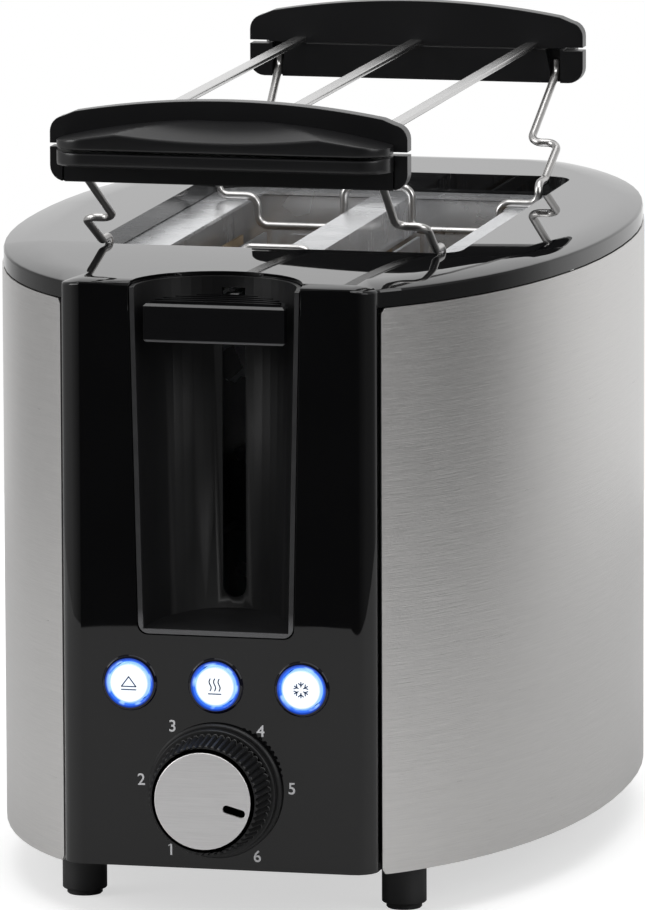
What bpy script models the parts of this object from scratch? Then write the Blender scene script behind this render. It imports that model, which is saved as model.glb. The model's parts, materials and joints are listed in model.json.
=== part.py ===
"""Two slot toaster with a lift-off warming rack, built as separate pieces in one frame.

Metres, +Z up, the front panel faces -Y and the feet stand on z = 0.
"""
import math

import bmesh
import bpy
from mathutils import Matrix, Vector

# Driving sizes of the body
BODY_HALF = 0.1403
NOSE_CUT = 0.0122
PLAN_HALF_LENGTH = BODY_HALF + NOSE_CUT
PLAN_POWER = 2.14
PANEL_FLAT_HALF = 0.0392
PANEL_ROUND = 0.0064
STEEL_BOTTOM = 0.0144
STEEL_HEIGHT = 0.1618
STEEL_TOP = STEEL_BOTTOM + STEEL_HEIGHT
PANEL_RISE = 0.0010
PANEL_BOTTOM = STEEL_BOTTOM + PANEL_RISE
LID_SEAM = 0.0003
LID_BOTTOM = STEEL_TOP + LID_SEAM
LID_HEIGHT = 0.0063
LID_TOP = LID_BOTTOM + LID_HEIGHT
LID_INSET = 0.0004
RIM_ROUND = 0.0008
FRONT_RIM = 0.0060
FRONT_FALL = 0.0005
SIDE_RIM = 0.0125
SIDE_FALL = 0.0013
STEEL_ROUND = 0.0015
REAR_TURN_SHARE = 0.72
REAR_SLANT_SHARE = 0.7
SHOULDER_SHARE = 0.5
WALL = 0.0026
GAP = 0.0003
SHEET = 0.0008
PASS = 0.002

# Slots, lid opening and body width, from the middle outwards
DIVIDER_HALF = 0.0058
SLOT_WIDTH = 0.0344
SLOT_OUTER = DIVIDER_HALF + SLOT_WIDTH
OPEN_SIDE = 0.0138
OPEN_HALF_X = SLOT_OUTER + OPEN_SIDE
DECK_SIDE = 0.0344
PLAN_HALF_WIDTH = OPEN_HALF_X + DECK_SIDE
DECK_FRONT = 0.0713
DECK_REAR = 0.0453
OPEN_FRONT = DECK_FRONT - BODY_HALF
OPEN_REAR = BODY_HALF - DECK_REAR
OPEN_ROUND = 0.0080
SKIRT = 0.0018

# Base, feet and crumb tray
BASE_SINK = 0.0021
BASE_LOW = STEEL_BOTTOM + BASE_SINK
BASE_SHEET = 0.0030
BASE_TOP = BASE_LOW + BASE_SHEET
RETURN_DEPTH = 0.0133
RETURN_LINE = BODY_HALF - RETURN_DEPTH
FOOT_X = 0.0470
FOOT_SET = 0.0326
FOOT_Y = BODY_HALF - FOOT_SET
FOOT_RADIUS = 0.0064
FOOT_LOW_RADIUS = 0.0051
FOOT_STEP = 0.0017
VENT_HALF = 0.0016
VENT_PITCH = 0.0220
VENT_CLEAR = 0.0031
VENT_EDGE = 0.0163
TRAY_SIDE = 0.0052
TRAY_HALF = SLOT_OUTER - TRAY_SIDE
TRAY_LIFT = 0.0008
TRAY_LOW = BASE_TOP + TRAY_LIFT
TRAY_HEIGHT = 0.0070
TRAY_FACE_EDGE = 0.0005
TRAY_FACE_HALF = TRAY_HALF + TRAY_FACE_EDGE
TRAY_FACE_HEIGHT = 0.0105
TRAY_FACE_DEPTH = 0.0034
TRAY_LIP = 0.0050

# Toasting chamber
CHAMBER_STEP = 0.0015
CHAMBER_FRONT = OPEN_FRONT - CHAMBER_STEP
CHAMBER_LEDGE = 0.0070
CHAMBER_REAR = OPEN_REAR - CHAMBER_LEDGE
CHAMBER_SIDE = 0.0010
CHAMBER_HALF = OPEN_HALF_X - CHAMBER_SIDE
FLANGE_SINK = 0.0059
FLANGE_TOP = LID_TOP - FLANGE_SINK
FLANGE_SHEET = 0.0010
CHAMBER_TOP = FLANGE_TOP - FLANGE_SHEET
FLANGE_SIDE = 0.0030
FLANGE_HALF_X = OPEN_HALF_X + FLANGE_SIDE
FLANGE_LAP = 0.0040
FLANGE_FRONT = CHAMBER_FRONT - FLANGE_LAP
FLANGE_BACK = 0.0035
FLANGE_REAR = OPEN_REAR + FLANGE_BACK
DIVIDER_DROP = 0.0120
TRAY_FRONT_GAP = 0.0045
TRAY_FRONT = CHAMBER_FRONT + TRAY_FRONT_GAP
WINDOW_SIDE = 0.0040
TRAY_WINDOW_HALF = TRAY_HALF + WINDOW_SIDE
WINDOW_RISE = 0.0087
TRAY_WINDOW_TOP = TRAY_LOW + WINDOW_RISE
SHIELD_SIDE = 0.0030
SHIELD_X = CHAMBER_HALF - SHIELD_SIDE
SHIELD_FOLD = 0.0060
SHIELD_RISE = 0.0135
SHIELD_LOW = BASE_TOP + SHIELD_RISE
HEATER_SIDE = 0.0040
HEATER_X = SHIELD_X - HEATER_SIDE
HEATER_RISE = 0.0205
HEATER_LOW = BASE_TOP + HEATER_RISE
HEATER_DROP = 0.0119
HEATER_TOP = CHAMBER_TOP - HEATER_DROP
HEATER_TAB = 0.0200
GUIDE_SIDE = 0.0014
GUIDE_X_OUTER = SLOT_OUTER - GUIDE_SIDE
GUIDE_X_INNER = DIVIDER_HALF + GUIDE_SIDE * 2
GUIDE_RISE = 0.0185
GUIDE_LOW = BASE_TOP + GUIDE_RISE
GUIDE_DROP = 0.0109
GUIDE_TOP = CHAMBER_TOP - GUIDE_DROP
GUIDE_BAR = 0.0050
GUIDE_SHEET = 0.0010
PIN_RADIUS = 0.0014
EMBOSS_HALF = 0.0060
EMBOSS_HEIGHT = 0.0050
EMBOSS_PROUD = 0.0010
EMBOSS_DROP = 0.0120
ROD_BRIDGE_DROP = 0.0044
ROD_BRIDGE_Z = CHAMBER_TOP - ROD_BRIDGE_DROP

# Controls on the front panel, stacked from its bottom edge
DIAL_RISE = 0.0228
DIAL_Z = PANEL_BOTTOM + DIAL_RISE
BUTTON_RISE = 0.0300
BUTTON_Z = DIAL_Z + BUTTON_RISE
BUTTON_PITCH = 0.0250
BUTTON_RING_RADIUS = 0.0080
RING_WIDTH = 0.0022
BUTTON_RADIUS = BUTTON_RING_RADIUS - RING_WIDTH
BUTTON_PROUD = 0.0014
BUTTON_RING_PROUD = 0.0008
BUTTON_TRAVEL = 0.0025
BUTTON_STEM = 0.0022
BUTTON_SKIRT = 0.0040
RING_FLANGE = 0.0012
RING_DEPTH = 0.0050
DIAL_RING_RADIUS = 0.0193
DIAL_RING_THICK = 0.0020
DIAL_STEP = 0.0010
DIAL_SKIRT_RADIUS = DIAL_RING_RADIUS - DIAL_STEP
DIAL_SKIRT = 0.0026
DIAL_WAIST = 0.0013
DIAL_RADIUS = DIAL_SKIRT_RADIUS - DIAL_WAIST
DIAL_TAPER = 0.0012
DIAL_SMALL_RADIUS = DIAL_RADIUS - DIAL_TAPER
DIAL_PROUD = 0.0158
DIAL_RIM = 0.0019
DIAL_CAP_RADIUS = DIAL_SMALL_RADIUS - DIAL_RIM
DIAL_CAP_THICK = 0.0008
DIAL_FLUTE = 0.0007
DIAL_SHAFT = 0.0030
DIAL_HUB = 0.0050
POINTER_INNER = 0.0062
POINTER_OUTER = 0.0128
POINTER_HALF = 0.0011
POINTER_DEG = -15.5
POT_HALF = 0.0080
POT_DEPTH = 0.0070
BOARD_SIDE = 0.0032
BOARD_HALF = PANEL_FLAT_HALF - BOARD_SIDE
BOARD_DROP = 0.0142
BOARD_LOW = DIAL_Z - BOARD_DROP
BOARD_RISE = 0.0103
BOARD_TOP = BUTTON_Z + BOARD_RISE
BOARD_BACK = 0.0118
BOARD_FRONT = BOARD_BACK - BODY_HALF
BOARD_SHEET = 0.0016
SWITCH_HALF = 0.0030
SWITCH_DEPTH = 0.0012
POST_SIDE = 0.0050
POST_X = BOARD_HALF - POST_SIDE
POST_RISE = 0.0030
POST_LOW = BOARD_LOW + POST_RISE
POST_PITCH = 0.0260
POST_HIGH = POST_LOW + POST_PITCH
POST_RADIUS = 0.0026

# Lever channel in the front panel
CHANNEL_TOP_HALF = 0.0246
CHANNEL_TAPER = 0.0022
CHANNEL_LOW_HALF = CHANNEL_TOP_HALF - CHANNEL_TAPER
CHANNEL_DEPTH = 0.0248
CHANNEL_RISE = 0.0143
CHANNEL_BOTTOM = BUTTON_Z + CHANNEL_RISE
CHANNEL_WALL = 0.0013
CHANNEL_CORNER = 0.0030
CHANNEL_FLOOR_FRONT = 0.0012
CHANNEL_FLOOR_RISE = 0.0028
SLOT_HALF = 0.0034
SLOT_RISE = 0.0070
SLOT_LOW = CHANNEL_BOTTOM + SLOT_RISE
ROUND_END_SHARE = 0.98
CHANNEL_SINK = 0.0012

# Lever, carriage and return spring
LEVER_DROP = 0.0170
LEVER_LOW = LID_TOP - LEVER_DROP
LEVER_STOP = 0.0083
LEVER_TRAVEL = LEVER_LOW - CHANNEL_BOTTOM - LEVER_STOP
LEVER_SIDE = 0.0042
LEVER_HALF = CHANNEL_TOP_HALF - LEVER_SIDE
LEVER_HEIGHT = 0.0115
LEVER_PROUD = 0.0006
LEVER_BACK = 0.0050
LEVER_DEPTH = CHANNEL_DEPTH - LEVER_BACK
LEVER_EDGE = 0.0008
LEVER_SOCKET = 0.0100
LEVER_POWER = 0.8
ARM_HALF = 0.0012
ARM_SINK = 0.0009
ARM_TOP = LEVER_LOW + LEVER_HEIGHT - ARM_SINK
ARM_DROP = 0.0080
BRACKET_STEP = 0.0085
BRACKET_FRONT = CHAMBER_FRONT - BRACKET_STEP
ARM_STEP = 0.0006
ARM_REAR = BRACKET_FRONT - ARM_STEP
ARM_REACH = 0.0204
ARM_STEM_FRONT = ARM_REAR - ARM_REACH
LIFTER_X = DIVIDER_HALF + SLOT_WIDTH / 2
LIFTER_HALF = 0.0012
BRACKET_SIDE = 0.0040
BRACKET_HALF = LIFTER_X + BRACKET_SIDE
BRACKET_REST = 0.0075
BRACKET_LOW = BASE_TOP + BRACKET_REST + LEVER_TRAVEL
BRACKET_HEIGHT = 0.0200
BRACKET_TOP = BRACKET_LOW + BRACKET_HEIGHT
BRACKET_SHEET = 0.0012
COLLAR_HALF = 0.0044
COLLAR_DEPTH = 0.0090
COLLAR_FRONT = BRACKET_FRONT - COLLAR_DEPTH
ROD_SIDE = 0.0080
ROD_X = LIFTER_X - ROD_SIDE
ROD_STEP = 0.0046
ROD_Y = BRACKET_FRONT - ROD_STEP
ROD_RADIUS = 0.0020
BRIDGE_SIDE = 0.0020
ROD_BRIDGE_HALF = BRACKET_HALF + BRIDGE_SIDE
LIFTER_RISE = 0.0090
LIFTER_TOP = BRACKET_LOW + LIFTER_RISE
LIFTER_HEIGHT = 0.0070
LIFTER_NOTCH = 0.0030
LIFTER_END = 0.0040
LIFTER_REAR = CHAMBER_REAR - LIFTER_END
TOOTH_SHARES = (0.8, 0.3)
SPRING_SIDE = 0.0034
SPRING_X = BRACKET_HALF - SPRING_SIDE
SPRING_STEP = 0.0060
SPRING_Y = BRACKET_FRONT - SPRING_STEP
SPRING_RADIUS = 0.0030
SPRING_WIRE = 0.0005
SPRING_TAB = 0.0012

# Holding magnet on the base and its plate on the carriage
MAGNET_HALF_X = 0.0085
MAGNET_SIDE = 0.0020
MAGNET_X = MAGNET_SIDE - ROD_X
MAGNET_STEP = 0.0050
MAGNET_REAR = COLLAR_FRONT - MAGNET_STEP
MAGNET_DEPTH = 0.0190
MAGNET_FRONT = MAGNET_REAR - MAGNET_DEPTH
MAGNET_HEIGHT = 0.0115
MAGNET_TOP = BASE_TOP + MAGNET_HEIGHT
ARMATURE_SHEET = 0.0020

# Mains gland on the rear panel
GLAND_X = -0.0240
GLAND_RISE = 0.0285
GLAND_Z = BASE_TOP + GLAND_RISE
GLAND_RADIUS = 0.0075
GLAND_NECK = 0.0058
GLAND_BORE = 0.0033
GLAND_PROUD = 0.0030

# Warming rack, stacked from the lid
HANDLE_SET = 0.0200
HANDLE_Y = BODY_HALF - HANDLE_SET
HANDLE_SIDE = 0.0022
HANDLE_HALF = OPEN_HALF_X - HANDLE_SIDE
HANDLE_PLATE = 0.0050
HANDLE_RISE = 0.0357
HANDLE_SEAM = LID_TOP + HANDLE_RISE
HANDLE_LOWER = 0.0104
HANDLE_BOTTOM = HANDLE_SEAM - HANDLE_LOWER
HANDLE_SEAM_GAP = 0.0010
HANDLE_END_OPEN = 0.0090
HANDLE_UPPER = 0.0083
HANDLE_TOP_END = HANDLE_SEAM + HANDLE_UPPER
HANDLE_ARCH = 0.0053
HANDLE_TOP_MID = HANDLE_TOP_END + HANDLE_ARCH
HANDLE_ROUND = 0.0045
GRIP_SIDE = 0.0036
GRIP_HALF = HANDLE_HALF - GRIP_SIDE
GRIP_REACH = 0.0140
GRIP_ROUND = 0.0090
GRIP_JOIN_MID = 0.0084
GRIP_JOIN_DROP = 0.0059
GRIP_STEP = 0.0012
GRIP_LIP = 0.0035
GRIP_SCOOP_CURL = 0.0046
GRIP_SCOOP_RISE = 0.0045
GRIP_LOW = 0.0042
GRIP_BITE = 0.0010
STRIP_X = 0.0360
STRIP_HALF = 0.0020
STRIP_THICK = 0.0014
STRIP_RISE = 0.0011
STRIP_Z = HANDLE_SEAM + STRIP_RISE
STRIP_BITE = 0.0010
WIRE_RADIUS = 0.0012
WIRE_BEND = 0.0034
LEG_SIDE = 0.0086
LEG_TOP_X = HANDLE_HALF - LEG_SIDE
LEG_SINK = 0.0035
LEG_TOP_Z = HANDLE_SEAM - LEG_SINK
LEG_STRAIGHT = 0.0031
LEG_BEND_Z = HANDLE_BOTTOM + LEG_STRAIGHT
HOOK_SIDE = 0.0049
HOOK_X = OPEN_HALF_X - HOOK_SIDE
HOOK_STEP = 0.0032
HOOK_Y = -OPEN_FRONT - HOOK_STEP
LEDGE_STEP = 0.0087
LEDGE_Y = HOOK_Y + LEDGE_STEP
LEDGE_RISE = 0.0018
LEDGE_Z = LID_TOP + LEDGE_RISE
KNEE_IN = 0.0079
KNEE_IN_X = HOOK_X - KNEE_IN
KNEE_OUT = 0.0010
KNEE_OUT_X = HOOK_X + KNEE_OUT
KNEE_STEP = 0.0165
KNEE_Y = LEDGE_Y + KNEE_STEP
KNEE_RISE = 0.0107
KNEE_Z = LID_TOP + KNEE_RISE
REST_SIDE = 0.0032
REST_IN_X = SLOT_OUTER - REST_SIDE
HUMP_SIDE = 0.0046
HUMP_HALF = DIVIDER_HALF + HUMP_SIDE
HUMP_RISE = 0.0055
HUMP_Z = FLANGE_TOP + HUMP_RISE
RUN_DROP = 0.0074
RUN_Z = FLANGE_TOP - RUN_DROP

SIDE_STEPS = 30
CORNER_STEPS = 5
ROUND_STEPS = 24
SMOOTH_DEG = 32.0


def clear_scene():
    for item in list(bpy.data.objects):
        bpy.data.objects.remove(item, do_unlink=True)


def material(name, colour, metallic, roughness):
    mat = bpy.data.materials.new(name)
    mat.use_nodes = True
    node = mat.node_tree.nodes["Principled BSDF"]
    node.inputs["Base Color"].default_value = (colour[0], colour[1], colour[2], 1.0)
    node.inputs["Metallic"].default_value = metallic
    node.inputs["Roughness"].default_value = roughness
    mat.diffuse_color = (colour[0], colour[1], colour[2], 1.0)
    return mat


def mesh_object(name, verts, faces):
    mesh = bpy.data.meshes.new(name)
    bm = bmesh.new()
    made = [bm.verts.new(v) for v in verts]
    for face in faces:
        bm.faces.new([made[i] for i in face])
    bmesh.ops.recalc_face_normals(bm, faces=bm.faces)
    bm.to_mesh(mesh)
    bm.free()
    item = bpy.data.objects.new(name, mesh)
    bpy.context.scene.collection.objects.link(item)
    return item


def loft(name, rings):
    """Closed solid through rings of the same count, with flat ends."""
    count = len(rings[0])
    verts = [tuple(p) for ring in rings for p in ring]
    faces = [list(range(count))[::-1]]
    for k in range(len(rings) - 1):
        for i in range(count):
            j = (i + 1) % count
            faces.append([k * count + i, k * count + j, (k + 1) * count + j, (k + 1) * count + i])
    last = (len(rings) - 1) * count
    faces.append([last + i for i in range(count)])
    return mesh_object(name, verts, faces)


def along(axis, u, v, w):
    if axis == "X":
        return (w, u, v)
    if axis == "Y":
        return (u, w, v)
    return (u, v, w)


def prism(name, outline, lo, hi, axis):
    rings = [[along(axis, p[0], p[1], w) for p in outline] for w in (lo, hi)]
    return loft(name, rings)


def block(name, x0, x1, y0, y1, z0, z1):
    return prism(name, [(x0, y0), (x1, y0), (x1, y1), (x0, y1)], z0, z1, "Z")


def circle(centre_u, centre_v, radius, count):
    points = []
    for i in range(count):
        a = 2 * math.pi * i / count
        points.append((centre_u + radius * math.cos(a), centre_v + radius * math.sin(a)))
    return points


def turned(name, profile, centre_u, centre_v, axis, count):
    """Turned solid: profile is a list of (radius, place along the axis)."""
    rings = []
    for radius, w in profile:
        rings.append([along(axis, p[0], p[1], w) for p in circle(centre_u, centre_v, radius, count)])
    return loft(name, rings)


def rounded(corners, steps):
    """Outline with each (u, v, radius) corner rounded."""
    out = []
    count = len(corners)
    for i in range(count):
        here = Vector(corners[i][:2])
        radius = corners[i][2]
        if radius == 0:
            out.append(tuple(here))
            continue
        before = (Vector(corners[i - 1][:2]) - here).normalized()
        after = (Vector(corners[(i + 1) % count][:2]) - here).normalized()
        half = before.angle(after) / 2
        centre = here + (before + after).normalized() * (radius / math.sin(half))
        start = here + before * (radius / math.tan(half)) - centre
        end = here + after * (radius / math.tan(half)) - centre
        turn = math.atan2(start.x * end.y - start.y * end.x, start.dot(end))
        for k in range(steps + 1):
            a = turn * k / steps
            c, s = math.cos(a), math.sin(a)
            out.append((centre.x + start.x * c - start.y * s, centre.y + start.x * s + start.y * c))
    return out


def bent_path(points, radius, steps):
    """Line through points with each inner corner bent to the radius."""
    pts = [Vector(p) for p in points]
    out = [pts[0]]
    for i in range(1, len(pts) - 1):
        before = pts[i - 1] - pts[i]
        after = pts[i + 1] - pts[i]
        limit = min(before.length, after.length) / 2
        before.normalize()
        after.normalize()
        half = before.angle(after) / 2
        cut = min(radius / math.tan(half), limit)
        bend = cut * math.tan(half)
        centre = pts[i] + (before + after).normalized() * (bend / math.sin(half))
        start = pts[i] + before * cut - centre
        end = pts[i] + after * cut - centre
        turn = start.angle(end)
        axis = start.cross(end).normalized()
        for k in range(steps + 1):
            out.append(centre + Matrix.Rotation(turn * k / steps, 3, axis) @ start)
    out.append(pts[-1])
    return out


def wire(name, path, radius, count):
    """Round wire swept along a path without twist."""
    rings = []
    side = None
    for i, here in enumerate(path):
        ahead = path[min(i + 1, len(path) - 1)] - path[max(i - 1, 0)]
        ahead.normalize()
        if side is None:
            side = ahead.orthogonal().normalized()
        side = (side - ahead * side.dot(ahead)).normalized()
        other = ahead.cross(side)
        ring = []
        for k in range(count):
            a = 2 * math.pi * k / count
            ring.append(here + side * (radius * math.cos(a)) + other * (radius * math.sin(a)))
        rings.append(ring)
    return loft(name, rings)


def bake(item):
    depsgraph = bpy.context.evaluated_depsgraph_get()
    mesh = bpy.data.meshes.new_from_object(item.evaluated_get(depsgraph))
    old = item.data
    item.modifiers.clear()
    item.data = mesh
    mesh.name = item.name
    bpy.data.meshes.remove(old)


def combine(item, others, mode):
    for other in others:
        tool = item.modifiers.new("join", "BOOLEAN")
        tool.operation = mode
        tool.solver = "EXACT"
        tool.object = other
        bpy.context.view_layer.update()
        bake(item)
        bpy.data.objects.remove(other, do_unlink=True)
    return item


def cut(item, *others):
    return combine(item, others, "DIFFERENCE")


def join(item, *others):
    return combine(item, others, "UNION")


def smooth(item):
    item.data.shade_smooth()
    item.data.set_sharp_from_angle(angle=math.radians(SMOOTH_DEG))
    return item


def finish(item, mat, origin=(0, 0, 0)):
    item.data.materials.clear()
    item.data.materials.append(mat)
    item.data.transform(Matrix.Translation(-Vector(origin)))
    item.location = origin
    smooth(item)
    return item


def curve_x(y, inset):
    share = 1 - (abs(y) / (PLAN_HALF_LENGTH - inset)) ** PLAN_POWER
    return (PLAN_HALF_WIDTH - inset) * share ** (1 / PLAN_POWER)


def curve_y(x, inset):
    share = 1 - (abs(x) / (PLAN_HALF_WIDTH - inset)) ** PLAN_POWER
    return (PLAN_HALF_LENGTH - inset) * share ** (1 / PLAN_POWER)


def side_curve(inset, front, rear):
    """Right-hand side of the plan from front to rear."""
    points = []
    for i in range(SIDE_STEPS + 1):
        y = (rear - front) / 2 + (rear + front) / 2 * math.sin(math.pi / 2 * (2 * i / SIDE_STEPS - 1))
        points.append((curve_x(y, inset), y))
    return points


def rear_corner(inset):
    """From the flat rear to the bulging side, which it meets smoothly."""
    end_x = PANEL_FLAT_HALF + PANEL_ROUND - inset * REAR_SLANT_SHARE
    start_x = end_x * REAR_TURN_SHARE
    flat = BODY_HALF - inset
    end_y = curve_y(end_x, LID_INSET + inset)
    points = []
    for i in range(CORNER_STEPS + 1):
        share = i / CORNER_STEPS
        points.append((start_x + (end_x - start_x) * share, flat - (flat - end_y) * share ** 2))
    return points


def plan_loop(front_inset, side_inset, limit=None, rear_inset=None):
    """Whole plan outline: flat front with round corners, bulging sides and a softer rear."""
    radius = PANEL_ROUND - front_inset
    centre_y = BODY_HALF - PANEL_ROUND
    corner = []
    for i in range(CORNER_STEPS + 1):
        a = math.pi / 2 * (i / CORNER_STEPS - 1)
        corner.append((PANEL_FLAT_HALF + radius * math.cos(a), -centre_y + radius * math.sin(a)))
    rear = rear_corner(front_inset if rear_inset is None else rear_inset)
    if limit is None:
        side = side_curve(side_inset, curve_y(corner[-1][0], side_inset), curve_y(rear[-1][0], side_inset))
    else:
        corner.append((corner[-1][0], -limit))
        rear.append((rear[-1][0], limit))
        side = side_curve(side_inset, limit, limit)
    right = corner + side + rear[::-1]
    return right + [(-x, y) for x, y in reversed(right)]


def rim_ring(turn, crown):
    """Outline of the lid at one turn of its rounded edge, and one share of the crown inside it."""
    pull, lift = RIM_ROUND * (1 - math.cos(turn)), RIM_ROUND * (1 - math.sin(turn))
    front = pull + (FRONT_RIM - RIM_ROUND) * crown
    side = pull + (SIDE_RIM - RIM_ROUND) * crown
    points = []
    for x, y in plan_loop(front, LID_INSET + side, None, side):
        share = 1.0
        if y < 0:
            share = min(1.0, max(0.0, abs(x) - PANEL_FLAT_HALF) / (PANEL_ROUND - front))
        fall = FRONT_FALL + (SIDE_FALL - FRONT_FALL) * share
        points.append((x, y, LID_TOP - fall * (1 - crown) ** 1.5 - lift))
    return points


def build_housing(mats):
    top = LID_TOP
    rings = []
    for z in (PANEL_BOTTOM, LID_BOTTOM):
        rings.append([(x, y, z) for x, y in plan_loop(0, LID_INSET)])
    crown_shares = ((0, 0), (0.5, 0), (1, 0), (1, 0.4), (1, 1))
    for turn, crown in crown_shares:
        rings.append(rim_ring(math.pi / 2 * turn, crown))
    shell = loft("housing", rings)
    cavity = []
    for z, share in ((PANEL_BOTTOM - PASS, 0), (LID_BOTTOM, 0), (top - WALL, SHOULDER_SHARE)):
        front, side = WALL + FRONT_RIM * share, WALL + SIDE_RIM * share
        cavity.append([(x, y, z) for x, y in plan_loop(front, LID_INSET + side, None, side)])
    cut(shell, loft("cavity", cavity))
    span = PLAN_HALF_WIDTH + PASS
    cut(shell, block("sides", -span, span, -RETURN_LINE, RETURN_LINE, 0, LID_BOTTOM))
    edge = PANEL_FLAT_HALF + PANEL_ROUND - SHEET / 8
    for side in (-1, 1):
        for end in (-1, 1):
            xs = sorted((side * edge, side * span))
            ys = sorted((end * (RETURN_LINE - PASS), end * (BODY_HALF + PASS)))
            cut(shell, block("corner", xs[0], xs[1], ys[0], ys[1], 0, LID_BOTTOM))
    opening = rounded(
        [
            (-OPEN_HALF_X, OPEN_FRONT, OPEN_ROUND),
            (OPEN_HALF_X, OPEN_FRONT, OPEN_ROUND),
            (OPEN_HALF_X, OPEN_REAR, OPEN_ROUND),
            (-OPEN_HALF_X, OPEN_REAR, OPEN_ROUND),
        ],
        CORNER_STEPS,
    )
    skirt = rounded(
        [
            (-OPEN_HALF_X - SKIRT, OPEN_FRONT - SKIRT, OPEN_ROUND + SKIRT),
            (OPEN_HALF_X + SKIRT, OPEN_FRONT - SKIRT, OPEN_ROUND + SKIRT),
            (OPEN_HALF_X + SKIRT, OPEN_REAR + SKIRT, OPEN_ROUND + SKIRT),
            (-OPEN_HALF_X - SKIRT, OPEN_REAR + SKIRT, OPEN_ROUND + SKIRT),
        ],
        CORNER_STEPS,
    )
    join(shell, prism("skirt", skirt, FLANGE_TOP + GAP, top - WALL / 2, "Z"))
    posts = []
    for x in (-POST_X, POST_X):
        for z in (POST_LOW, POST_HIGH):
            profile = [(POST_RADIUS, -BODY_HALF + WALL / 2), (POST_RADIUS, BOARD_FRONT - GAP)]
            posts.append(turned("post", profile, x, z, "Y", CORNER_STEPS * 2))
    join(shell, *posts)
    cut(shell, prism("opening", opening, FLANGE_TOP - PASS, top + PASS, "Z"))
    depth = BODY_HALF - WALL - PASS / 2
    cut(shell, prism("channel_face", channel_face(GAP), -BODY_HALF - PASS, -depth, "Y"))
    arch = groove_outline(CHANNEL_TOP_HALF + GAP, CHANNEL_DEPTH + GAP, PASS)
    cut(shell, prism("channel_top", arch, LID_BOTTOM - PASS, top + PASS, "Z"))
    holes = []
    near, far = -BODY_HALF - PASS, -BODY_HALF + WALL + PASS
    for k in (-1, 0, 1):
        bore = BUTTON_RING_RADIUS - RING_FLANGE + GAP
        profile = [(bore, near), (bore, far)]
        holes.append(turned("hole", profile, k * BUTTON_PITCH, BUTTON_Z, "Y", ROUND_STEPS))
    profile = [(DIAL_HUB + GAP, near), (DIAL_HUB + GAP, far)]
    holes.append(turned("hole", profile, 0, DIAL_Z, "Y", ROUND_STEPS))
    near, far = BODY_HALF - WALL - PASS, BODY_HALF + PASS
    profile = [(GLAND_NECK + GAP, near), (GLAND_NECK + GAP, far)]
    holes.append(turned("hole", profile, GLAND_X, GLAND_Z, "Y", ROUND_STEPS))
    half = TRAY_FACE_HALF + GAP
    tray_top = TRAY_LOW + TRAY_FACE_HEIGHT + GAP
    holes.append(block("tray_hole", -half, half, near, far, TRAY_LOW - GAP, tray_top))
    cut(shell, *holes)
    finish(shell, mats["gloss_black"])


def channel_face(clearance):
    """Front outline of the channel insert, wider by the clearance."""
    low = CHANNEL_BOTTOM - clearance
    low_half = CHANNEL_LOW_HALF + clearance
    top_half = CHANNEL_TOP_HALF + clearance
    return rounded(
        [
            (-low_half, low, CHANNEL_CORNER),
            (low_half, low, CHANNEL_CORNER),
            (top_half, LID_TOP + PASS, 0),
            (-top_half, LID_TOP + PASS, 0),
        ],
        CORNER_STEPS,
    )


def groove_outline(half, depth, forward):
    """Half ellipse in plan, open towards the front."""
    points = [(half, -BODY_HALF - forward)]
    for i in range(ROUND_STEPS + 1):
        a = math.pi * i / ROUND_STEPS
        points.append((half * math.cos(a), -BODY_HALF + depth * math.sin(a)))
    points.append((-half, -BODY_HALF - forward))
    if forward == 0:
        points = points[1:-1]
    return points


def build_channel(mats):
    top = LID_TOP - CHANNEL_SINK
    rings = []
    for z, half in ((CHANNEL_BOTTOM, CHANNEL_LOW_HALF), (top, CHANNEL_TOP_HALF)):
        rings.append([(x, y, z) for x, y in groove_outline(half, CHANNEL_DEPTH, 0)])
    insert = loft("lever_channel", rings)
    depth = CHANNEL_DEPTH - CHANNEL_WALL
    low_half = CHANNEL_LOW_HALF - CHANNEL_WALL
    slope = (CHANNEL_TOP_HALF - CHANNEL_LOW_HALF) / (top - CHANNEL_BOTTOM)
    floor = []
    for x, y in groove_outline(low_half, depth, PASS):
        share = max(0.0, (y + BODY_HALF) / depth)
        z = CHANNEL_BOTTOM + CHANNEL_FLOOR_FRONT + CHANNEL_FLOOR_RISE * share
        floor.append((x, y, z))
    over = top + PASS
    high_half = low_half + slope * (over - CHANNEL_BOTTOM)
    upper = [(x, y, over) for x, y in groove_outline(high_half, depth, PASS)]
    cut(insert, loft("groove", [floor, upper]))
    slot = rounded(
        [
            (-SLOT_HALF, SLOT_LOW, SLOT_HALF * ROUND_END_SHARE),
            (SLOT_HALF, SLOT_LOW, SLOT_HALF * ROUND_END_SHARE),
            (SLOT_HALF, ARM_TOP + PASS, 0),
            (-SLOT_HALF, ARM_TOP + PASS, 0),
        ],
        CORNER_STEPS,
    )
    back = -BODY_HALF + CHANNEL_DEPTH
    cut(insert, prism("slot", slot, back - CHANNEL_DEPTH / 2, back + PASS, "Y"))
    trim = prism("trim", channel_face(0), -BODY_HALF - PASS, back + PASS, "Y")
    combine(insert, [trim], "INTERSECT")
    near, low = -BODY_HALF - PASS, LID_TOP - FRONT_FALL - CHANNEL_SINK
    crest = FRONT_RIM / 2 - BODY_HALF
    brow = [(near, low), (-BODY_HALF, low), (crest, top), (crest, over), (near, over)]
    cut(insert, prism("brow", brow, -CHANNEL_TOP_HALF - PASS, CHANNEL_TOP_HALF + PASS, "X"))
    finish(insert, mats["matte_black"])


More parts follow.
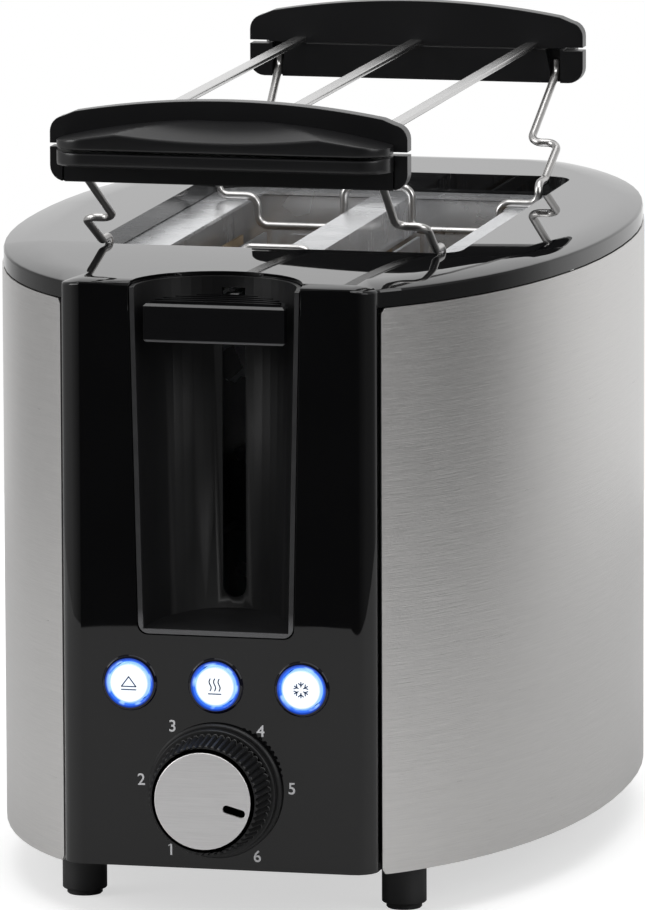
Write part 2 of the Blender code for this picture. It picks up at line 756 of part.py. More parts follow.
def build_side_panels(mats):
    start = PANEL_FLAT_HALF + PANEL_ROUND + SHEET + GAP / 3
    limit = curve_y(start, 0)
    corner = STEEL_ROUND
    outer = side_curve(0, limit, limit)
    run = 0.0
    lengths = [0.0]
    for i in range(1, len(outer)):
        run += math.dist(outer[i], outer[i - 1])
        lengths.append(run)
    for side, name in ((-1, "side_panel_left"), (1, "side_panel_right")):
        rings = []
        for (x, y), place in zip(outer, lengths):
            near = min(place, run - place)
            drop = 0.0
            if near < corner:
                drop = corner - math.sqrt(corner ** 2 - (corner - near) ** 2)
            slope_x = (x / PLAN_HALF_WIDTH) ** (PLAN_POWER - 1) / PLAN_HALF_WIDTH
            slope_y = (abs(y) / PLAN_HALF_LENGTH) ** (PLAN_POWER - 1) / PLAN_HALF_LENGTH
            normal = Vector((slope_x, math.copysign(slope_y, y))).normalized()
            xi, yi = x - normal.x * SHEET, y - normal.y * SHEET
            low, high = STEEL_BOTTOM + drop, STEEL_TOP - drop
            corners = ((x, y, low), (x, y, high), (xi, yi, high), (xi, yi, low))
            rings.append([(side * u, v, w) for u, v, w in corners])
        finish(loft(name, rings), mats["brushed_steel"])


def build_base(mats):
    side_inset = SHEET + GAP
    outline = plan_loop(WALL + GAP, side_inset, RETURN_LINE - GAP)
    base = prism("base_plate", outline, BASE_LOW, BASE_TOP, "Z")
    vents = []
    for side in (-1, 1):
        for k in range(-2, 3):
            y = (CHAMBER_FRONT + CHAMBER_REAR) / 2 + k * VENT_PITCH
            xs = sorted((side * (TRAY_WINDOW_HALF + VENT_CLEAR), side * (PLAN_HALF_WIDTH - VENT_EDGE)))
            vents.append(block("vent", xs[0], xs[1], y - VENT_HALF, y + VENT_HALF,
                               BASE_LOW - PASS, BASE_TOP + PASS))
    cut(base, *vents)
    finish(base, mats["matte_black"])
    for x, across in ((-FOOT_X, "left"), (FOOT_X, "right")):
        for y, end in ((-FOOT_Y, "front"), (FOOT_Y, "rear")):
            profile = [
                (FOOT_LOW_RADIUS - FOOT_STEP / 4, 0),
                (FOOT_LOW_RADIUS, FOOT_STEP / 4),
                (FOOT_LOW_RADIUS, FOOT_STEP),
                (FOOT_RADIUS, FOOT_STEP),
                (FOOT_RADIUS, BASE_LOW - GAP),
            ]
            finish(turned("foot_%s_%s" % (end, across), profile, x, y, "Z", ROUND_STEPS), mats["rubber"])


def build_tray(mats):
    rear = BODY_HALF - WALL / 2
    pan = block("crumb_tray", -TRAY_HALF, TRAY_HALF, TRAY_FRONT, rear, TRAY_LOW, TRAY_LOW + TRAY_HEIGHT)
    hollow = block(
        "hollow",
        -TRAY_HALF + SHEET,
        TRAY_HALF - SHEET,
        TRAY_FRONT + SHEET,
        rear - TRAY_FACE_DEPTH,
        TRAY_LOW + SHEET,
        TRAY_LOW + TRAY_HEIGHT + PASS,
    )
    cut(pan, hollow)
    face_top = TRAY_LOW + TRAY_FACE_HEIGHT
    face = block(
        "face",
        -TRAY_FACE_HALF,
        TRAY_FACE_HALF,
        rear - TRAY_FACE_DEPTH / 2,
        rear + TRAY_FACE_DEPTH / 2,
        TRAY_LOW,
        face_top,
    )
    lip = rounded(
        [
            (-TRAY_FACE_HALF / 2, rear, 0),
            (TRAY_FACE_HALF / 2, rear, 0),
            (TRAY_FACE_HALF / 2, rear + TRAY_LIP, TRAY_LIP / 2),
            (-TRAY_FACE_HALF / 2, rear + TRAY_LIP, TRAY_LIP / 2),
        ],
        CORNER_STEPS,
    )
    join(pan, face, prism("lip", lip, TRAY_LOW + SHEET * 2, TRAY_LOW + SHEET * 4, "Z"))
    finish(pan, mats["zinc"])


def end_plate(name, y0, y1, slots):
    plate = block(name, -CHAMBER_HALF, CHAMBER_HALF, y0, y1, BASE_TOP + GAP, CHAMBER_TOP - GAP)
    cutters = [
        block("window", -TRAY_WINDOW_HALF, TRAY_WINDOW_HALF, y0 - PASS, y1 + PASS, 0, TRAY_WINDOW_TOP)
    ]
    if slots:
        low = LIFTER_TOP - LIFTER_HEIGHT - LEVER_TRAVEL - PASS / 2
        high = LIFTER_TOP + PASS
        half = LIFTER_HALF + GAP * 4
        for x in (-LIFTER_X, LIFTER_X):
            cutters.append(block("slot", x - half, x + half, y0 - PASS, y1 + PASS, low, high))
    return cut(plate, *cutters)


def build_chamber(mats):
    front0, front1 = CHAMBER_FRONT - SHEET, CHAMBER_FRONT
    front = end_plate("chamber_front_plate", front0, front1, True)
    bridges = []
    for side in (-1, 1):
        xs = sorted((side * (ROD_X - COLLAR_HALF), side * ROD_BRIDGE_HALF))
        bridges.append(block("bridge", xs[0], xs[1], COLLAR_FRONT, front0 + SHEET / 2,
                             ROD_BRIDGE_Z, ROD_BRIDGE_Z + BRACKET_SHEET))
    join(front, *bridges)
    finish(front, mats["zinc"])
    rear = end_plate("chamber_rear_plate", CHAMBER_REAR, CHAMBER_REAR + SHEET, False)
    bumps = []
    high = CHAMBER_TOP - EMBOSS_DROP
    for x in (-STRIP_X * 3 / 4, STRIP_X * 3 / 4):
        outline = rounded(
            [
                (x - EMBOSS_HALF, high - EMBOSS_HEIGHT, EMBOSS_HEIGHT / 3),
                (x + EMBOSS_HALF, high - EMBOSS_HEIGHT, EMBOSS_HEIGHT / 3),
                (x + EMBOSS_HALF, high, EMBOSS_HEIGHT / 3),
                (x - EMBOSS_HALF, high, EMBOSS_HEIGHT / 3),
            ],
            3,
        )
        bumps.append(prism("bump", outline, CHAMBER_REAR - EMBOSS_PROUD, CHAMBER_REAR + SHEET / 2, "Y"))
    join(rear, *bumps)
    finish(rear, mats["zinc"])
    flange = block("chamber_top_flange", -FLANGE_HALF_X, FLANGE_HALF_X, FLANGE_FRONT, FLANGE_REAR,
                   CHAMBER_TOP, FLANGE_TOP)
    mouth = block("mouth", -SLOT_OUTER, SLOT_OUTER, OPEN_FRONT, CHAMBER_REAR - SHEET,
                  CHAMBER_TOP - PASS, FLANGE_TOP + PASS)
    cut(flange, mouth)
    finish(flange, mats["zinc"])
    y0, y1 = OPEN_FRONT + GAP, CHAMBER_REAR - SHEET - GAP
    low = FLANGE_TOP - DIVIDER_DROP
    divider = block("slot_divider", -DIVIDER_HALF, DIVIDER_HALF, y0, y1, low, FLANGE_TOP)
    hollow = block(
        "hollow",
        -DIVIDER_HALF + SHEET,
        DIVIDER_HALF - SHEET,
        y0 - PASS,
        y1 + PASS,
        low - PASS,
        FLANGE_TOP - SHEET,
    )
    cut(divider, hollow)
    finish(divider, mats["zinc"])
    for side, name in ((-1, "left"), (1, "right")):
        x = side * SHIELD_X
        fold = side * (SHIELD_X - SHIELD_FOLD)
        low, high = SHIELD_LOW, CHAMBER_TOP - GAP
        outline = [
            (x, low),
            (x, high),
            (x + side * SHEET, high),
            (x + side * SHEET, low - SHEET),
            (fold, low - SHEET),
            (fold, low),
        ]
        y0, y1 = CHAMBER_FRONT + GAP, CHAMBER_REAR - GAP
        finish(prism("reflector_" + name, outline, y0, y1, "Y"), mats["zinc"])


def build_heaters(mats):
    y0, y1 = CHAMBER_FRONT + GAP, CHAMBER_REAR - GAP
    tall = HEATER_TOP - HEATER_LOW
    for x, name in ((-HEATER_X, "left"), (0, "middle"), (HEATER_X, "right")):
        outline = [
            (y0, HEATER_LOW + tall / 3),
            (y0 + HEATER_TAB / 4, HEATER_LOW + tall / 3),
            (y0 + HEATER_TAB / 4, HEATER_LOW),
            (y1 - HEATER_TAB / 4, HEATER_LOW),
            (y1 - HEATER_TAB / 4, HEATER_LOW + tall / 3),
            (y1, HEATER_LOW + tall / 3),
            (y1, HEATER_LOW + tall * 2 / 3),
            (y1 - HEATER_TAB / 4, HEATER_LOW + tall * 2 / 3),
            (y1 - HEATER_TAB / 4, HEATER_TOP),
            (y0 + HEATER_TAB / 4, HEATER_TOP),
            (y0 + HEATER_TAB / 4, HEATER_LOW + tall * 2 / 3),
            (y0, HEATER_LOW + tall * 2 / 3),
        ]
        finish(prism("heater_" + name, outline, x - SHEET / 2, x + SHEET / 2, "X"), mats["mica"])


def build_guides(mats):
    y0, y1 = CHAMBER_FRONT + GAP, CHAMBER_REAR - GAP
    windows = 7
    reach = y1 - y0 - GUIDE_BAR * 2
    pitch = (reach - GUIDE_BAR) / windows
    rail = GUIDE_BAR * 3 / 4
    for side, across in ((-1, "left"), (1, "right")):
        for place, which in ((GUIDE_X_OUTER, "outer"), (GUIDE_X_INNER, "inner")):
            x = side * place
            x0, x1 = x - GUIDE_SHEET / 2, x + GUIDE_SHEET / 2
            grid = block("bread_guide_%s_%s" % (across, which), x0, x1, y0 + GUIDE_BAR, y1 - GUIDE_BAR,
                         GUIDE_LOW - rail / 2, GUIDE_TOP)
            cutters = []
            for k in range(windows):
                ya = y0 + GUIDE_BAR * 2 + k * pitch
                cutters.append(block("window", x0 - PASS, x1 + PASS, ya, ya + pitch - rail,
                                     GUIDE_LOW + rail, GUIDE_TOP - rail))
            cut(grid, *cutters)
            pin = turned("pin", [(PIN_RADIUS, y0), (PIN_RADIUS, y1)], x, GUIDE_LOW, "Y", CORNER_STEPS * 2)
            join(grid, pin)
            finish(grid, mats["zinc"], (x, 0, GUIDE_LOW))


def build_carriage(mats):
    origin = (0, BRACKET_FRONT, BRACKET_TOP)
    rear = BRACKET_FRONT + BRACKET_SHEET
    plate = block("carriage_bracket", -BRACKET_HALF, BRACKET_HALF, BRACKET_FRONT, rear,
                  BRACKET_LOW, BRACKET_TOP)
    extra = []
    for side in (-1, 1):
        x = side * ROD_X
        extra.append(block("collar", x - COLLAR_HALF, x + COLLAR_HALF, COLLAR_FRONT,
                           rear - BRACKET_SHEET / 2, BRACKET_LOW + GAP, BRACKET_TOP - GAP))
    tab_low = BRACKET_TOP - SPRING_TAB - GAP * 2
    extra.append(block("tab", SPRING_X - SPRING_RADIUS, SPRING_X + SPRING_RADIUS, SPRING_Y - SPRING_RADIUS,
                       rear - BRACKET_SHEET / 2, tab_low, tab_low + SPRING_TAB))
    join(plate, *extra)
    holes = []
    for x in (-ROD_X, ROD_X):
        profile = [(ROD_RADIUS + GAP, BRACKET_LOW - PASS), (ROD_RADIUS + GAP, BRACKET_TOP + PASS)]
        holes.append(turned("hole", profile, x, ROD_Y, "Z", CORNER_STEPS * 3))
    cut(plate, *holes)
    finish(plate, mats["zinc"], origin)
    floor = BASE_TOP + GAP
    for x, name in ((-ROD_X, "guide_rod_left"), (ROD_X, "guide_rod_right")):
        profile = [(ROD_RADIUS, floor), (ROD_RADIUS, ROD_BRIDGE_Z - GAP)]
        finish(turned(name, profile, x, ROD_Y, "Z", CORNER_STEPS * 3), mats["chrome"])
    teeth = 8
    y0, y1 = rear + GAP, LIFTER_REAR
    y_start = CHAMBER_FRONT + PASS
    pitch = (y1 - y_start) / teeth
    low = LIFTER_TOP - LIFTER_HEIGHT
    dip = LIFTER_TOP - LIFTER_NOTCH
    for x, name in ((-LIFTER_X, "bread_lifter_left"), (LIFTER_X, "bread_lifter_right")):
        outline = [(y0, low), (y1, low)]
        for k in range(teeth, 0, -1):
            ya = y_start + (k - 1) * pitch
            outline.append((ya + pitch, LIFTER_TOP))
            outline += [(ya + pitch * share, dip) for share in TOOTH_SHARES]
        outline += [(y_start, LIFTER_TOP), (y0, LIFTER_TOP)]
        finish(prism(name, outline, x - LIFTER_HALF, x + LIFTER_HALF, "X"), mats["zinc"], origin)
    front = -BODY_HALF - LEVER_PROUD + LEVER_SOCKET
    outline = [
        (ARM_REAR, BRACKET_LOW),
        (ARM_REAR, ARM_TOP),
        (front, ARM_TOP),
        (front, ARM_TOP - ARM_DROP),
        (ARM_STEM_FRONT, ARM_TOP - ARM_DROP),
        (ARM_STEM_FRONT + ARM_DROP, BRACKET_TOP),
        (ARM_STEM_FRONT + ARM_DROP, BRACKET_LOW),
    ]
    finish(prism("lever_arm", outline, -ARM_HALF, ARM_HALF, "X"), mats["zinc"], origin)
    build_lever(mats, origin, front)
    build_spring(mats, tab_low + SPRING_TAB)


def build_lever(mats, origin, arm_front):
    face = -BODY_HALF - LEVER_PROUD
    top = LEVER_LOW + LEVER_HEIGHT
    rings = []
    levels = ((LEVER_LOW, LEVER_EDGE), (LEVER_LOW + LEVER_EDGE, 0), (top - LEVER_EDGE, 0), (top, LEVER_EDGE))
    for z, inset in levels:
        ring = []
        for i in range(ROUND_STEPS + 1):
            a = math.pi * i / ROUND_STEPS
            x = (LEVER_HALF - inset) * math.cos(a)
            y = face + inset + (LEVER_DEPTH - inset * 2) * math.sin(a) ** LEVER_POWER
            ring.append((x, y, z))
        rings.append(ring)
    knob = loft("lever_knob", rings)
    socket = block(
        "socket",
        -ARM_HALF - GAP,
        ARM_HALF + GAP,
        arm_front - GAP,
        face + LEVER_DEPTH + PASS,
        ARM_TOP - ARM_DROP - GAP,
        ARM_TOP + GAP,
    )
    cut(knob, socket)
    finish(knob, mats["gloss_black"], origin)


def build_spring(mats, low):
    turns = 11
    steps = 9
    high = ROD_BRIDGE_Z - GAP - SPRING_WIRE
    low = low + GAP + SPRING_WIRE
    path = []
    for i in range(turns * steps + 1):
        a = 2 * math.pi * i / steps
        share = i / (turns * steps)
        path.append(
            Vector(
                (
                    SPRING_X + (SPRING_RADIUS - SPRING_WIRE) * math.cos(a),
                    SPRING_Y + (SPRING_RADIUS - SPRING_WIRE) * math.sin(a),
                    low + (high - low) * share,
                )
            )
        )
    finish(wire("return_spring", path, SPRING_WIRE, 5), mats["chrome"])


def build_magnet(mats):
    floor = BASE_TOP + GAP
    x0, x1 = MAGNET_X - MAGNET_HALF_X, MAGNET_X + MAGNET_HALF_X
    core = block("holding_magnet", x0, x1, MAGNET_FRONT, MAGNET_REAR, floor, MAGNET_TOP)
    finish(core, mats["dark_iron"])
    low = MAGNET_TOP + LEVER_TRAVEL + GAP
    plate = block("armature_plate", x0, x1, MAGNET_FRONT, MAGNET_REAR, low, low + ARMATURE_SHEET)
    stem = block(
        "stem",
        -ROD_X - COLLAR_HALF + GAP,
        -ROD_X + COLLAR_HALF - GAP,
        MAGNET_REAR - PASS,
        COLLAR_FRONT - GAP,
        low,
        low + ARMATURE_SHEET,
    )
    join(plate, stem)
    finish(plate, mats["dark_iron"], (0, BRACKET_FRONT, BRACKET_TOP))


def build_controls(mats):
    front = -BODY_HALF
    names = ("eject", "reheat", "defrost")
    for k, name in zip((-1, 0, 1), names):
        x = k * BUTTON_PITCH
        bore = BUTTON_RADIUS + GAP
        neck = BUTTON_RING_RADIUS - RING_FLANGE
        profile = [
            (bore, front - BUTTON_RING_PROUD),
            (BUTTON_RING_RADIUS - GAP, front - BUTTON_RING_PROUD - GAP),
            (BUTTON_RING_RADIUS, front - GAP * 2),
            (BUTTON_RING_RADIUS, front - GAP),
            (neck, front - GAP),
            (neck, front + RING_DEPTH),
            (bore, front + RING_DEPTH),
        ]
        ring = ring_solid("button_ring_" + name, profile, x, BUTTON_Z)
        finish(ring, mats["light_blue"])
        profile = [
            (BUTTON_RADIUS - GAP, front - BUTTON_PROUD),
            (BUTTON_RADIUS, front - BUTTON_PROUD + GAP),
            (BUTTON_RADIUS, front + BUTTON_SKIRT),
            (BUTTON_STEM, front + BUTTON_SKIRT),
            (BUTTON_STEM, BOARD_FRONT - SWITCH_DEPTH - BUTTON_TRAVEL - GAP),
        ]
        button = turned("button_" + name, profile, x, BUTTON_Z, "Y", ROUND_STEPS)
        finish(button, mats["white"], (x, front, BUTTON_Z))
    board = block("control_board", -BOARD_HALF, BOARD_HALF, BOARD_FRONT, BOARD_FRONT + BOARD_SHEET,
                  BOARD_LOW, BOARD_TOP)
    parts = []
    for k in (-1, 0, 1):
        x = k * BUTTON_PITCH
        parts.append(block("switch", x - SWITCH_HALF, x + SWITCH_HALF, BOARD_FRONT - SWITCH_DEPTH,
                           BOARD_FRONT + BOARD_SHEET / 2, BUTTON_Z - SWITCH_HALF, BUTTON_Z + SWITCH_HALF))
    join(board, *parts)
    finish(board, mats["board_green"])


def ring_solid(name, profile, centre_u, centre_v):
    """Turned solid with a bore, from a closed section."""
    count = ROUND_STEPS
    rows = len(profile)
    verts = []
    for i in range(count):
        a = 2 * math.pi * i / count
        for radius, w in profile:
            verts.append((centre_u + radius * math.cos(a), w, centre_v + radius * math.sin(a)))
    faces = []
    for i in range(count):
        for k in range(rows):
            j, m = (i + 1) % count, (k + 1) % rows
            faces.append([i * rows + k, j * rows + k, j * rows + m, i * rows + m])
    return mesh_object(name, verts, faces)


def build_dial(mats):
    front = -BODY_HALF
    bezel_front = front - GAP - DIAL_RING_THICK
    profile = [
        (DIAL_HUB, front - GAP),
        (DIAL_HUB, bezel_front + GAP),
        (DIAL_RING_RADIUS - GAP * 2, bezel_front),
        (DIAL_RING_RADIUS, bezel_front + GAP * 3),
        (DIAL_RING_RADIUS, front - GAP),
    ]
    finish(ring_solid("dial_bezel", profile, 0, DIAL_Z), mats["gloss_black"])
    origin = (0, front, DIAL_Z)
    flutes = 30
    rings = []
    end = front - DIAL_PROUD
    skirt = bezel_front - GAP - DIAL_SKIRT
    levels = ((bezel_front - GAP, DIAL_SKIRT_RADIUS, 0), (skirt + GAP, DIAL_SKIRT_RADIUS - GAP, 0),
              (skirt, DIAL_RADIUS, DIAL_FLUTE), (end + GAP, DIAL_SMALL_RADIUS, DIAL_FLUTE),
              (end, DIAL_SMALL_RADIUS - GAP, DIAL_FLUTE / 2))
    for w, radius, depth in levels:
        ring = []
        for i in range(flutes * 2):
            a = math.pi * i / flutes
            r = radius - (depth if i % 2 else 0)
            ring.append((r * math.cos(a), w, DIAL_Z + r * math.sin(a)))
        rings.append(ring)
    body = loft("dial_knob", rings)
    profile = [(DIAL_SHAFT + GAP, end + DIAL_FLUTE * 4), (DIAL_SHAFT + GAP, bezel_front + PASS)]
    cut(body, turned("bore", profile, 0, DIAL_Z, "Y", CORNER_STEPS * 3))
    finish(body, mats["matte_black"], origin)
    cap_back = end - GAP
    profile = [(DIAL_CAP_RADIUS, cap_back), (DIAL_CAP_RADIUS, cap_back - DIAL_CAP_THICK + GAP / 2),
               (DIAL_CAP_RADIUS - GAP, cap_back - DIAL_CAP_THICK)]
    cap = turned("dial_cap", profile, 0, DIAL_Z, "Y", ROUND_STEPS * 2)
    a = math.radians(POINTER_DEG)
    along_u, along_v = math.cos(a), math.sin(a)
    ends = []
    for reach, sign in ((POINTER_INNER, -1), (POINTER_INNER, 1), (POINTER_OUTER, 1), (POINTER_OUTER, -1)):
        side = sign * POINTER_HALF
        ends.append((reach * along_u - side * along_v, DIAL_Z + reach * along_v + side * along_u,
                     POINTER_HALF * ROUND_END_SHARE))
    slot = rounded(ends, CORNER_STEPS)
    cut(cap, prism("pointer", slot, cap_back - DIAL_CAP_THICK - PASS, cap_back + PASS, "Y"))
    finish(cap, mats["brushed_steel"], origin)
    pot_front = BOARD_FRONT - GAP - POT_DEPTH
    profile = [(DIAL_SHAFT, end + DIAL_FLUTE * 4 + GAP), (DIAL_SHAFT, pot_front - GAP)]
    finish(turned("dial_shaft", profile, 0, DIAL_Z, "Y", CORNER_STEPS * 3), mats["chrome"], origin)
    pot = block("dial_control", -POT_HALF, POT_HALF, pot_front, BOARD_FRONT - GAP,
                DIAL_Z - POT_HALF, DIAL_Z + POT_HALF)
    finish(pot, mats["dark_iron"])


def build_gland(mats):
    inner, outer = BODY_HALF - WALL - GAP - PASS, BODY_HALF + GLAND_PROUD
    profile = [
        (GLAND_BORE, inner),
        (GLAND_RADIUS, inner),
        (GLAND_RADIUS, BODY_HALF - WALL - GAP),
        (GLAND_NECK, BODY_HALF - WALL - GAP),
        (GLAND_NECK, BODY_HALF + GAP),
        (GLAND_RADIUS, BODY_HALF + GAP),
        (GLAND_RADIUS - GAP * 2, outer),
        (GLAND_BORE, outer),
    ]
    finish(ring_solid("mains_gland", profile, GLAND_X, GLAND_Z), mats["rubber"])


def arch_z(x):
    share = (x / HANDLE_HALF) ** 2
    return HANDLE_TOP_MID - (HANDLE_TOP_MID - HANDLE_TOP_END) * share


def grip(name, end, low, profile_of):
    """Outer finger grip lofted across the handle from sections."""
    stations = 16
    y0 = end * (HANDLE_Y + HANDLE_PLATE / 2 - GRIP_BITE)
    rings = []
    for i in range(stations + 1):
        a = math.pi * (i / stations - 0.5)
        x = GRIP_HALF * math.sin(a)
        edge = GRIP_HALF - abs(x)
        reach = GRIP_REACH
        if edge < GRIP_ROUND:
            reach -= GRIP_ROUND - math.sqrt(max(0.0, GRIP_ROUND ** 2 - (GRIP_ROUND - edge) ** 2))
        ring = [(x, y0, low)]
        for share, z in profile_of(x):
            ring.append((x, y0 + end * (GRIP_BITE + reach * share), z))
        ring.append((x, y0, ring[-1][2]))
        rings.append(ring)
    return loft(name, rings)


def scoop(x):
    """Section of the upper grip: an arched top with a finger scoop in its middle."""
    share = (x / GRIP_HALF) ** 2
    seam = HANDLE_SEAM + GAP / 2
    join = HANDLE_SEAM + GRIP_JOIN_MID - GRIP_JOIN_DROP * share
    full = join - GRIP_STEP * (1 - share ** 2)
    hollow = HANDLE_SEAM + GRIP_LIP + GRIP_SCOOP_CURL * share
    lip = min(full, hollow)
    lip_shares = ((0.97, 0.0), (1.0, 0.2), (1.0, 0.85))
    hollow_shares = (0.95, 0.7, 0.45, 0.15)
    section = [(share_y, seam + (lip - seam) * share_z) for share_y, share_z in lip_shares]
    for share_y in hollow_shares:
        section.append((share_y, min(full, hollow + GRIP_SCOOP_RISE * (1 - share_y))))
    section.append((0.0, join))
    return section


def lower_band(x):
    seam = HANDLE_SEAM - GAP / 2
    band_shares = ((0.8, 1.0), (1.0, 0.7), (1.0, 0.1), (0.97, 0.0))
    return [(share_y, seam - GRIP_LOW * share_z) for share_y, share_z in band_shares]


def build_rack(mats):
    half = HANDLE_HALF
    for end, name in ((-1, "front"), (1, "rear")):
        ys = sorted((end * (HANDLE_Y - HANDLE_PLATE / 2), end * (HANDLE_Y + HANDLE_PLATE / 2)))
        seam = HANDLE_SEAM + HANDLE_SEAM_GAP / 2
        inner = half - HANDLE_END_OPEN
        corners = [(-half, seam, 0), (-inner, seam, 0), (-inner, HANDLE_SEAM + GAP / 2, 0),
                   (inner, HANDLE_SEAM + GAP / 2, 0), (inner, seam, 0), (half, seam, 0)]
        steps = 6
        corners.append((half, HANDLE_TOP_END, HANDLE_ROUND))
        for k in range(steps, -steps - 1, -1):
            x = (half - HANDLE_ROUND * 2) * k / steps
            corners.append((x, arch_z(x), 0))
        corners.append((-half, HANDLE_TOP_END, HANDLE_ROUND))
        upper = prism("rack_handle_%s_upper" % name, rounded(corners, CORNER_STEPS), ys[0], ys[1], "Y")
        join(upper, grip("grip", end, HANDLE_SEAM + GAP / 2, scoop))
        pockets = []
        for x in (-STRIP_X, 0, STRIP_X):
            reach = sorted((0, end * (HANDLE_Y + STRIP_BITE + GAP)))
            pockets.append(block("pocket", x - STRIP_HALF - GAP, x + STRIP_HALF + GAP, reach[0], reach[1],
                                 STRIP_Z - STRIP_THICK / 2 - GAP, STRIP_Z + STRIP_THICK / 2 + GAP))
        cut(upper, *pockets)
        finish(upper, mats["matte_black"], (0, 0, HANDLE_SEAM))
        seam = HANDLE_SEAM - HANDLE_SEAM_GAP / 2
        corners = [(-half, HANDLE_BOTTOM, HANDLE_ROUND), (half, HANDLE_BOTTOM, HANDLE_ROUND),
                   (half, seam, 0), (inner, seam, 0), (inner, HANDLE_SEAM - GAP / 2, 0),
                   (-inner, HANDLE_SEAM - GAP / 2, 0), (-inner, seam, 0), (-half, seam, 0)]
        lower = prism("rack_handle_%s_lower" % name, rounded(corners, CORNER_STEPS), ys[0], ys[1], "Y")
        join(lower, grip("band", end, HANDLE_SEAM - GAP / 2 - GRIP_LOW, lower_band))
        for side in (-1, 1):
            path = bent_path(leg_points(side, end)[:4], WIRE_BEND, 3)
            cut(lower, wire("socket", extend(path, GAP), WIRE_RADIUS + GAP, 8))
        finish(lower, mats["matte_black"], (0, 0, HANDLE_SEAM))
        points = leg_points(-1, end)
        low_run = [(-HUMP_HALF, end * HOOK_Y, RUN_Z), (-HUMP_HALF, end * HOOK_Y, HUMP_Z)]
        points += low_run + [(-x, y, z) for x, y, z in reversed(low_run)]
        points += list(reversed(leg_points(1, end)))
        path = bent_path(points, WIRE_BEND, 2)
        finish(wire("rack_wire_" + name, path, WIRE_RADIUS, 7), mats["chrome"], (0, 0, HANDLE_SEAM))
    reach = HANDLE_Y + STRIP_BITE
    for x, name in ((-STRIP_X, "left"), (0, "middle"), (STRIP_X, "right")):
        strip = block("rack_strip_" + name, x - STRIP_HALF, x + STRIP_HALF, -reach, reach,
                      STRIP_Z - STRIP_THICK / 2, STRIP_Z + STRIP_THICK / 2)
        finish(strip, mats["chrome"], (0, 0, HANDLE_SEAM))


def extend(path, more):
    """Path made longer at its start, for a socket cutter."""
    ahead = (path[0] - path[1]).normalized()
    return [path[0] + ahead * more] + path[1:]


def leg_points(side, end):
    """Wire from the handle down to the low run of one slot."""
    rest_z = FLANGE_TOP + GAP + WIRE_RADIUS
    return [
        (side * LEG_TOP_X, end * HANDLE_Y, LEG_TOP_Z),
        (side * LEG_TOP_X, end * HANDLE_Y, LEG_BEND_Z),
        (side * KNEE_IN_X, end * KNEE_Y, KNEE_Z),
        (side * KNEE_OUT_X, end * KNEE_Y, KNEE_Z),
        (side * HOOK_X, end * LEDGE_Y, LEDGE_Z),
        (side * HOOK_X, end * HOOK_Y, LEDGE_Z),
        (side * HOOK_X, end * HOOK_Y, rest_z),
        (side * REST_IN_X, end * HOOK_Y, rest_z),
        (side * REST_IN_X, end * HOOK_Y, RUN_Z),
    ]


def centre_frame():
    """Puts the middle of the whole length, dial and tray lip included, on y = 0."""
    front = BODY_HALF + DIAL_PROUD + GAP + DIAL_CAP_THICK
    rear = BODY_HALF - WALL / 2 + TRAY_LIP
    for item in bpy.data.objects:
        item.location.y += (front - rear) / 2


def main():
    clear_scene()
    mats = {
        "gloss_black": material("gloss_black", (0.012, 0.012, 0.014), 0.0, 0.12),
        "matte_black": material("matte_black", (0.018, 0.018, 0.02), 0.0, 0.5),
        "brushed_steel": material("brushed_steel", (0.62, 0.61, 0.6), 1.0, 0.34),
        "chrome": material("chrome", (0.72, 0.71, 0.7), 1.0, 0.2),
        "zinc": material("zinc", (0.55, 0.56, 0.57), 1.0, 0.38),
        "rubber": material("rubber", (0.02, 0.02, 0.02), 0.0, 0.8),
        "mica": material("mica", (0.55, 0.47, 0.36), 0.0, 0.6),
        "white": material("white", (0.85, 0.87, 0.9), 0.0, 0.3),
        "light_blue": material("light_blue", (0.1, 0.4, 0.95), 0.0, 0.3),
        "board_green": material("board_green", (0.03, 0.16, 0.07), 0.0, 0.5),
        "dark_iron": material("dark_iron", (0.1, 0.1, 0.11), 0.8, 0.5),
    }
    build_housing(mats)
    build_channel(mats)
    build_side_panels(mats)
    build_base(mats)
    build_tray(mats)
    build_chamber(mats)
    build_heaters(mats)
    build_guides(mats)
    build_carriage(mats)
    build_magnet(mats)
    build_controls(mats)
    build_dial(mats)
    build_gland(mats)
    build_rack(mats)
    centre_frame()


main()
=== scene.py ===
"""Visual model of a two slice toaster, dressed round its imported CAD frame."""

import json
import math

import bmesh
import bpy
from mathutils import Matrix, Vector


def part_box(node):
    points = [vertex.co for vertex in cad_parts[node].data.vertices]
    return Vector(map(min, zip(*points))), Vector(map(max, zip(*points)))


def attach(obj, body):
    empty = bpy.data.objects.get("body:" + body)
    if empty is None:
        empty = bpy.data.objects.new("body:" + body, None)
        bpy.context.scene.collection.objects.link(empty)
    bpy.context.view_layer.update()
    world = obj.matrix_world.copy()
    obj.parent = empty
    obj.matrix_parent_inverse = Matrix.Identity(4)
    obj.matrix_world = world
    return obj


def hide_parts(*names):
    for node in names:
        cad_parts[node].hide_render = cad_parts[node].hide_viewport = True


bl_info = {
    "name": "Two Slice Toaster",
    "version": (1, 0, 0),
    "blender": (4, 5, 0),
    "location": "View3D > Sidebar > Toaster",
    "description": "Dresses the packed toaster frame with finished pieces",
    "category": "Object",
}

